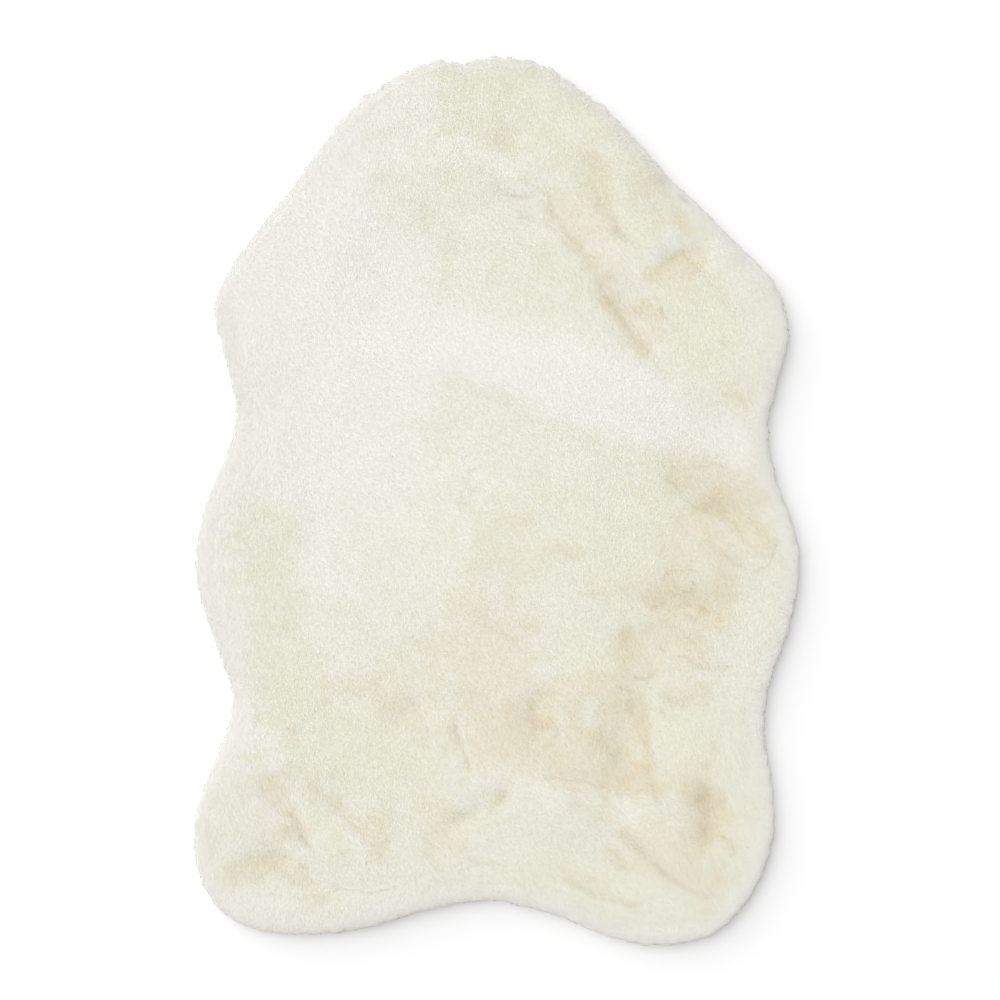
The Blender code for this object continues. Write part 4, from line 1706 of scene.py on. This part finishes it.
@dataclass
class Toner:
    """Works out the wool's tones over the rug.

    Attributes:
        relief: Heights and tones over the plane.
        rim_from: How far in from the rim the painted shade of greyer wool starts to fade.
        rim_to: Where it has gone.
        rim_waver: How unevenly it does.
        rim_least: How much of it there is on the side towards the light.
        rim_lit: How it grows away from the light.
        edge_from: How far in the painted light at the very edge starts to fade.
        edge_to: Where it has gone.
        drift: How far the tones of the whole rug wander, in millimetres.
        painted_dusk: How the painted shade of the half away from the light grows.
        level: How the dull ivory grows towards the lower right, partly as painted shade away from
            the light.
        level_least: How much dull ivory there is everywhere.
        level_more: How much more there is where it has grown.
        dull_patches: Unevenness of the dull marks.
        pale_patches: Unevenness of the pale ones.
        warm_patches: Unevenness of the beige ones.
        shade_patches: Unevenness of the partings and of their painted shade.
        pale_over_painted_dusk: How far a pale mark hides the painted shade away from the light.
        pale_over_dull: How far it hides the dull ivory.
        rim_over_dull: How far the rim's painted shade hides the dull ivory.
    """

    relief: Relief
    rim_from: float = 2.0
    rim_to: float = 22.0
    rim_waver: float = 5.0
    rim_least: float = 0.3
    rim_lit: Slant = Slant(right=1.0, down=0.6, low=-120.0, high=260.0)
    edge_from: float = 0.5
    edge_to: float = 4.5
    drift: float = 40.0
    painted_dusk: Slant = Slant(right=0.8, down=0.42, low=-40.0, high=230.0)
    level: Slant = Slant(right=0.8, down=0.45, low=-120.0, high=240.0)
    level_least: float = 0.06
    level_more: float = 0.28
    dull_patches: Patches = Patches(0.82, 0.3)
    pale_patches: Patches = Patches(0.85, 0.25)
    warm_patches: Patches = Patches(0.9, 0.4)
    shade_patches: Patches = Patches(0.85, 0.6)
    pale_over_painted_dusk: float = 0.5
    pale_over_dull: float = 0.8
    rim_over_dull: float = 0.4

    def tones(self, points: Array, inset: Array) -> Tones:
        """Work out the tones of the pile's surface.

        Args:
            points: Points of the surface, in millimetres.
            inset: How far in from the rim they lie.

        Returns:
            The tones at each point.
        """
        x, y = points[:, 0], points[:, 1]
        relief = self.relief
        waver = self.rim_waver * relief.mottle.at(x, y)
        # Painted shade of greyer wool over the rim, grown away from the light below.
        rim = 1.0 - smoothstep(self.rim_from, self.rim_to, inset + waver)
        drift = self.drift * relief.drift[0].at(x, y)
        # Painted shade over the half away from the light, towards the lower right.
        painted_dusk = self.painted_dusk.at(x, y, drift)
        # Dull ivory, more of it towards the lower right: partly greenish tone, partly painted
        # shade away from the light.
        level = self.level_least + self.level_more * self.level.at(x, y, drift)
        pale = relief.blend("dull", x, y, -1.0) * relief.patchy(x, y, *self.pale_patches)
        dull = relief.blend("dull", x, y) * relief.patchy(x, y, *self.dull_patches)
        dull = 1.0 - (1.0 - level) * (1.0 - dull)
        dull = dull * (1.0 - self.pale_over_dull * pale)
        warmth = relief.blend("warmth", x, y) * relief.patchy(x, y, *self.warm_patches)
        shade = relief.blend("shade", x, y) * relief.patchy(x, y, *self.shade_patches)
        return Tones(
            painted_dusk=painted_dusk * (1.0 - self.pale_over_painted_dusk * pale) * (1.0 - rim),
            dull=dull * (1.0 - self.rim_over_dull * rim),
            pale=pale * (1.0 - rim),
            warmth=warmth * (1.0 - rim),
            shade=shade,
            rim=rim * (self.rim_least + (1.0 - self.rim_least) * self.rim_lit.at(x, y)),
            # Painted light at the very edge.
            edge=1.0 - smoothstep(self.edge_from, self.edge_to, inset),
        )


@dataclass(frozen=True)
class Softening:
    """How evenly light falls on the pile, whose soft fibres catch it from all round.

    Attributes:
        field: How far it is lit as its surface lies, and not as the level does.
        rim: The same over the rounded rim.
        side: The same where it stands steeply.
        rim_from: Where the rim's share starts to change to the field's.
        rim_to: Where it has changed.
        steep: Upward part of the normal where the pile stands steeply.
        level: Upward part where it lies level.
        tucked: Upward part where it is tucked under, and is lit as it lies.
        turning: Upward part where it starts to turn under.
    """

    field: float = 0.26
    rim: float = 0.05
    side: float = 0.33
    rim_from: float = 6.0
    rim_to: float = 34.0
    steep: float = 0.25
    level: float = 0.93
    tucked: float = -0.4
    turning: float = -0.1

    def normals(self, normals: Array, inset: Array) -> Array:
        """Work out the normals to shade by.

        Args:
            normals: The surface's own normals, one a row.
            inset: How far in from the rim they stand.

        Returns:
            The normals to shade by, one a row.
        """
        within = smoothstep(self.rim_from, self.rim_to, inset)
        share = self.rim + (self.field - self.rim) * within
        steep = 1.0 - smoothstep(self.steep, self.level, normals[:, 2])
        share = np.maximum(share, self.side * steep)
        faces_up = smoothstep(self.tucked, self.turning, normals[:, 2])
        share = (1.0 - (1.0 - share) * faces_up)[:, None]
        return unit(normals * share + (0.0, 0.0, 1.0) * (1.0 - share))


@dataclass
class WoolBed:
    """The dense wool under the tips of the pile, coloured darker than them as painted shade among
    the strands.

    Attributes:
        surface: The surface of the tips.
        toner: The wool's tones.
        softening: How the light falls on it.
        depth: How far under the tips it lies.
        tip: How much of the tips' colour it has, from 0 to 1. The rest is painted shade.
        strand: How light it is among the strands, from 0 to 1.
        root_shade: How far the rest goes towards the deep colour, as painted shade among the
            strands.
        lowest: Height that it doesn't go under.
    """

    surface: Surface
    toner: Toner
    softening: Softening
    depth: float = 0.75
    tip: float = 0.7
    strand: float = 0.5
    root_shade: float = 0.12
    lowest: float = 0.3

    def build(self) -> bpy.types.Object:
        """Make the bed of wool.

        Returns:
            The piece.
        """
        surface = self.surface
        points = surface.points - surface.normals * self.depth
        points[:, 2] = np.maximum(points[:, 2], self.lowest)
        tones = self.toner.tones(surface.points, surface.inset)
        floats = dict(tones._asdict())
        # Painted shade: the bed takes less of the tips' colour, for the shade among the strands.
        floats["tip"] = np.full(len(points), self.tip)
        floats["strand"] = np.full(len(points), self.strand)
        bed = make_object("wool_bed", points * MM, surface.triangles, floats)
        shading = self.softening.normals(surface.normals, surface.inset)
        bed.data.normals_split_custom_set_from_vertices(shading)
        finish = WoolFinish("wool_bed", root_shade=self.root_shade)
        bed.data.materials.append(finish.make())
        return declare(bed)


@dataclass
class Nap:
    """The way the pile leans over the rug.

    Attributes:
        heading: The way it is brushed, in degrees from +X towards +Y.
        wander: How far the heading wanders either way, in degrees.
        quick_share: How far it does so over a short way, as a share of that.
        rim_reach: How far in from the rim the pile turns outward.
        droop: How much it hangs where the surface falls away.
    """

    heading: float = -62.0
    wander: float = 38.0
    quick_share: float = 0.5
    rim_reach: float = 20.0
    droop: float = 1.2

    def __post_init__(self) -> None:
        """Draw the noises that the heading wanders by."""
        self.slow = SmoothNoise(size=120.0, seed=21)
        self.quick = SmoothNoise(size=38.0, seed=22)

    def lean(self, points: Array, normals: Array, inset: Array, out: Array) -> Array:
        """Work out the way that each strand leans.

        Args:
            points: Where the strands end, in millimetres.
            normals: Outward unit normals there.
            inset: How far in from the rim they lie.
            out: Unit vectors towards the nearest stretch of rim, in the plane.

        Returns:
            Unit vectors along the surface, one a row.
        """
        x, y = points[:, 0], points[:, 1]
        stray = self.slow.at(x, y) + self.quick_share * self.quick.at(x, y)
        turn = np.radians(self.heading + self.wander * stray)
        way = np.column_stack([np.cos(turn), np.sin(turn), np.zeros(len(x))])
        outward = np.column_stack([out, np.zeros(len(x))])
        rim = (1.0 - smoothstep(0.0, self.rim_reach, inset))[:, None]
        way = way * (1.0 - rim) + outward * rim
        way[:, 2] -= self.droop * np.clip(1.0 - normals[:, 2], 0.0, 1.0)
        way -= normals * (way * normals).sum(1, keepdims=True)
        return unit(way)


@dataclass
class Tips:
    """Places on the surface where strands end.

    Attributes:
        spots: The places, in millimetres.
        normals: Outward unit normals there.
        inset: How far they lie in from the rim.
        out: Unit vectors towards the nearest stretch of rim, in the plane.
        SPACING: Steps over a triangle that keep neighbouring tips apart.
    """

    spots: Array
    normals: Array
    inset: Array
    out: Array

    SPACING: ClassVar[tuple[float, float]] = (0.7548776662, 0.5698402910)

    @classmethod
    def scatter(
        cls, surface: Surface, corners: Array, density: float, chance: np.random.Generator
    ) -> Tips:
        """Strew tips evenly over some of a surface's triangles.

        Args:
            surface: The surface.
            corners: The triangles, as three of its point numbers a row.
            density: How many to a square millimetre.
            chance: Where random numbers come from.

        Returns:
            The tips.
        """
        a, b, c = (surface.points[corners[:, k]] for k in range(3))
        areas = np.linalg.norm(np.cross(b - a, c - a), axis=1) / 2
        count = round(areas.sum() * density)
        reach = np.cumsum(areas) / areas.sum()
        picks = (np.arange(count) + chance.uniform(size=count)) / count
        chosen = corners[np.searchsorted(reach, picks).clip(max=len(corners) - 1)]
        first, second = np.modf(np.arange(count)[:, None] * cls.SPACING)[0].T
        root = np.sqrt(first)
        shares = np.stack([1.0 - root, root * (1.0 - second), root * second], 1)

        def blend(values: Array) -> Array:
            """A value of the surface's points, at each tip."""
            return np.einsum("ij,ij...->i...", shares, values[chosen])

        return cls(
            spots=blend(surface.points),
            normals=unit(blend(surface.normals)),
            inset=blend(surface.inset),
            out=unit(blend(surface.out)),
        )


@dataclass
class Strands:
    """The strands of the pile: tapered, in pairs that fork from one root.

    Attributes:
        surface: The surface of the tips.
        nap: The way they lean.
        toner: The wool's tones.
        softening: How the light falls on them.
        zones: Name of each piece, with the Y where it ends.
        rim_zone: Name of the piece round the rim.
        rim_band: How far in from the rim that piece reaches.
        lowest: Upward part of the surface's normal where the strands end, under the rim.
        density: Pairs of strands to a square millimetre of surface.
        length: Length of a strand above its root, in millimetres.
        length_spread: How much longer or shorter it may be, as a share.
        width: Its width at the root.
        width_spread: How much wider or narrower it may be, as a share.
        fork: How far a tip of a pair may stand from the pair's place, each way.
        lean: How far it leans over, in degrees from upright.
        lean_spread: How far that strays, in degrees.
        swerve: How far its heading strays from the nap, in degrees.
        lift: How far a tip may stand over the surface, or under it.
        rim_lift: How much further it may at the rim.
        rim_lift_to: How far in from the rim it no longer does.
        lift_from: Upward part of the normal where tips start to stand over the surface.
        lift_full: Upward part where they do in full.
        rim_from: How far in from the rim the strands start to change to the field's.
        rim_to: Where they have changed.
        rim_swerve: How much further they stray at the rim.
        rim_shortening: How much shorter they are there, as a share.
        upward: How far the side that a strand shows is turned up.
        ground: Height that no strand goes under.
        seed: Seed of the strands' places and shapes.
        PAIR: Points of a pair: two at its root and a tip for each strand.
        KITE: Where those points lie in the pair's cell of the UV map.
    """

    surface: Surface
    nap: Nap
    toner: Toner
    softening: Softening
    zones: tuple[tuple[str, float], ...] = (
        ("neck_pile", 200.0),
        ("shoulder_pile", 0.0),
        ("belly_pile", -200.0),
        ("tail_pile", -1000.0),
    )
    rim_zone: str = "rim_pile"
    rim_band: float = 16.0
    lowest: float = -0.35
    density: float = 0.88
    length: float = 6.0
    length_spread: float = 0.25
    width: float = 0.62
    width_spread: float = 0.3
    fork: float = 1.0
    lean: float = 77.0
    lean_spread: float = 2.5
    swerve: float = 16.0
    lift: float = 0.08
    rim_lift: float = 0.5
    rim_lift_to: float = 9.0
    lift_from: float = -0.15
    lift_full: float = 0.2
    rim_from: float = 2.0
    rim_to: float = 24.0
    rim_swerve: float = 22.0
    rim_shortening: float = 0.3
    upward: float = 0.6
    ground: float = 0.35
    seed: int = 31

    PAIR: ClassVar[int] = 4
    KITE: ClassVar[tuple[tuple[float, float], ...]] = (
        (0.5, 0.15),
        (0.5, 0.85),
        (0.15, 0.5),
        (0.85, 0.5),
    )

    def build(self) -> list[bpy.types.Object]:
        """Make every piece of pile.

        Returns:
            The pieces, from the neck down and then the rim.
        """
        corners = self.surface.triangles
        middles = self.surface.points[corners].mean(1)
        at_rim = self.surface.inset[corners].mean(1) < self.rim_band
        open_side = self.surface.normals[corners, 2].mean(1) > self.lowest
        parts = {}
        high = np.inf
        for name, low in self.zones:
            parts[name] = ~at_rim & (middles[:, 1] < high) & (middles[:, 1] >= low)
            high = low
        parts[self.rim_zone] = at_rim & open_side
        chance = np.random.default_rng(self.seed)
        material = WoolFinish("pile").make()
        pieces = []
        for name, here in parts.items():
            tips = Tips.scatter(self.surface, corners[here], self.density, chance)
            piece = self._piece(name, tips, chance)
            piece.data.materials.append(material)
            pieces.append(declare(piece))
        return pieces

    def _piece(
        self, name: str, tips: Tips, chance: np.random.Generator
    ) -> bpy.types.Object:
        """Make the pairs of strands that end at some tips.

        Args:
            name: The piece's name.
            tips: Where they end.
            chance: Where random numbers come from.

        Returns:
            The piece, with its UV map and the normals to shade by.
        """
        count = len(tips.spots)
        tones = self.toner.tones(tips.spots, tips.inset)._asdict()
        floats = {label: np.repeat(tone, self.PAIR) for label, tone in tones.items()}
        # Roots at 0, tips at 1: the material darkens the roots as painted shade.
        floats["tip"] = np.tile([0.0, 0.0, 1.0, 1.0], count)
        floats["strand"] = np.repeat(chance.uniform(size=count), self.PAIR)
        points = self._points(tips, chance) * MM
        piece = make_object(name, points, self._triangles(points, tips.normals), floats)
        outward = tips.normals.copy()
        outward[:, 2] = np.maximum(outward[:, 2], 0.0)
        shading = np.repeat(self.softening.normals(outward, tips.inset), self.PAIR, axis=0)
        piece.data.normals_split_custom_set_from_vertices(shading)
        self._map(piece, tips.spots)
        return piece

    def _triangles(self, points: Array, normals: Array) -> Array:
        """Wind the two strands of each pair so that they face out and up.

        Args:
            points: The pairs' points, one a row.
            normals: The surface's outward unit normal at each pair.

        Returns:
            The triangles, three point numbers a row.
        """
        strands = np.array([(0, 1, 2), (0, 1, 3)])
        firsts = np.arange(0, len(points), self.PAIR)[:, None, None]
        triangles = (firsts + strands).reshape(-1, 3)
        a, b, c = (points[triangles[:, k]] for k in range(3))
        outward = np.repeat(normals + (0.0, 0.0, self.upward), len(strands), axis=0)
        faces_in = (np.cross(b - a, c - a) * outward).sum(1) < 0.0
        triangles[faces_in] = triangles[faces_in][:, (1, 0, 2)]
        return triangles

    def _points(self, tips: Tips, chance: np.random.Generator) -> Array:
        """Shape the pairs of strands.

        Args:
            tips: Where they end.
            chance: Where random numbers come from.

        Returns:
            Two root points and two tips of each pair, in millimetres.
        """
        count = len(tips.spots)
        normals = tips.normals
        way = self.nap.lean(tips.spots, normals, tips.inset, tips.out)
        rim = 1.0 - smoothstep(self.rim_from, self.rim_to, tips.inset)
        swerve = self.swerve + self.rim_swerve * rim
        turn = np.radians(swerve * chance.normal(size=count))[:, None]
        way = way * np.cos(turn) + np.cross(normals, way) * np.sin(turn)
        side = np.cross(way, normals)
        spread = self.length_spread
        length = self.length * chance.uniform(1.0 - spread, 1.0 + spread, count)
        length = (length * (1.0 - self.rim_shortening * rim))[:, None]
        lean = np.radians(self.lean + chance.normal(0.0, self.lean_spread, count))[:, None]
        spread = self.width_spread
        width = self.width * chance.uniform(1.0 - spread, 1.0 + spread, count)[:, None]
        at_rim = 1.0 - smoothstep(0.0, self.rim_lift_to, tips.inset)[:, None]
        reach = self.lift + self.rim_lift * at_rim
        reach = reach * smoothstep(self.lift_from, self.lift_full, normals[:, 2:])
        roots = tips.spots - (way * np.sin(lean) + normals * np.cos(lean)) * length
        rows = [roots - side * width / 2, roots + side * width / 2]
        for _ in range(2):
            fork_way, fork_side = chance.uniform(-self.fork, self.fork, (2, count, 1))
            lift = chance.uniform(-1.0, 1.0, (count, 1)) * reach
            rows.append(tips.spots + way * fork_way + side * fork_side + normals * lift)
        points = np.stack(rows, 1).reshape(-1, 3)
        points[:, 2] = np.maximum(points[:, 2], self.ground)
        return points

    def _map(self, piece: bpy.types.Object, spots: Array) -> None:
        """Give each pair its own cell of a UV map, placed there as on the rug.

        Args:
            piece: The piece that gets the map.
            spots: The pairs' places on the rug, one a row.
        """
        count = len(spots)
        side = math.ceil(math.sqrt(count))
        by_row = np.argsort(spots[:, 1], kind="stable")
        cells = np.empty((count, 2))
        for row in range(side):
            here = by_row[row * side : (row + 1) * side]
            here = here[np.argsort(spots[here, 0], kind="stable")]
            cells[here] = np.column_stack([np.arange(len(here)), np.full(len(here), row)])
        at_points = ((cells[:, None] + self.KITE) / side).reshape(-1, 2)
        layer = piece.data.uv_layers.new(name="OFBake")
        index = np.empty(len(piece.data.loops), np.int32)
        piece.data.loops.foreach_get("vertex_index", index)
        layer.uv.foreach_set("vector", at_points[index].astype(np.float32).ravel())


# ---------------------------------------------------------------- studio


@dataclass
class Studio:
    """Plain pale floor, soft light from the upper left and a camera straight above.

    Attributes:
        view_width: Width of the picture at the height of the rug's rim, in metres.
        middle: The place that the middle of the picture shows.
        lens: The camera's lens, in millimetres.
        sensor: The width of its sensor, in millimetres.
        plane: Height at which the picture has that width.
        floor_size: Side of the floor.
        sky: Strength of the light from all round.
        key_strength: Strength of the large soft light.
        key_spread: The angle that it fills, in degrees.
        key_place: The way that it shines from.
    """

    view_width: float = 1.0116
    middle: tuple[float, float] = (0.0034, 0.0007)
    lens: float = 90.0
    sensor: float = 36.0
    plane: float = 0.008
    floor_size: float = 12.0
    sky: float = 0.525
    key_strength: float = 3.34
    key_spread: float = 70.0
    key_place: tuple[float, float, float] = (-3.5, 3.0, 4.5)

    def build(self) -> None:
        """Make floor, lights, world and camera."""
        self._floor()
        self._world()
        self._key()
        self._camera()
        bpy.context.scene.view_settings.view_transform = "Standard"

    def _floor(self) -> None:
        """Lay the floor."""
        bpy.ops.mesh.primitive_plane_add(size=self.floor_size, location=(0.0, 0.0, 0.0))
        floor = bpy.context.object
        floor.name = "floor"
        floor.data.materials.append(FloorFinish().make())

    def _world(self) -> None:
        """Light the scene from all round."""
        world = bpy.data.worlds.new("studio")
        world.use_nodes = True
        background = world.node_tree.nodes["Background"]
        background.inputs["Color"].default_value = (1.0, 1.0, 1.0, 1.0)
        background.inputs["Strength"].default_value = self.sky
        bpy.context.scene.world = world

    def _key(self) -> None:
        """Hang the large soft light at the upper left."""
        light = bpy.data.lights.new("key", "SUN")
        light.angle = math.radians(self.key_spread)
        light.energy = self.key_strength
        key = bpy.data.objects.new("key", light)
        key.location = self.key_place
        key.rotation_euler = (-Vector(self.key_place)).to_track_quat("-Z", "Y").to_euler()
        bpy.context.scene.collection.objects.link(key)

    def _camera(self) -> None:
        """Hang the camera over the middle of the rug."""
        data = bpy.data.cameras.new("camera")
        data.lens = self.lens
        data.sensor_width = self.sensor
        camera = bpy.data.objects.new("camera", data)
        distance = self.view_width * self.lens / self.sensor
        camera.location = (*self.middle, self.plane + distance)
        bpy.context.scene.collection.objects.link(camera)
        bpy.context.scene.camera = camera


def main() -> None:
    """Build the rug's pieces and the studio."""
    logging.basicConfig(level=logging.INFO, format="%(name)s: %(message)s")
    outline = Outline(OUTLINE)
    relief = Relief()
    surface = PileSurface(outline, Locks(), relief).build()
    LOG.info("surface: %d points, %d triangles", len(surface.points), len(surface.triangles))
    toner = Toner(relief)
    softening = Softening()
    pieces = [WoolBed(surface, toner, softening).build()]
    pieces += Strands(surface, Nap(), toner, softening).build()
    Backing(outline).build(pieces)
    Studio().build()


if __name__ == "__main__":
    main()
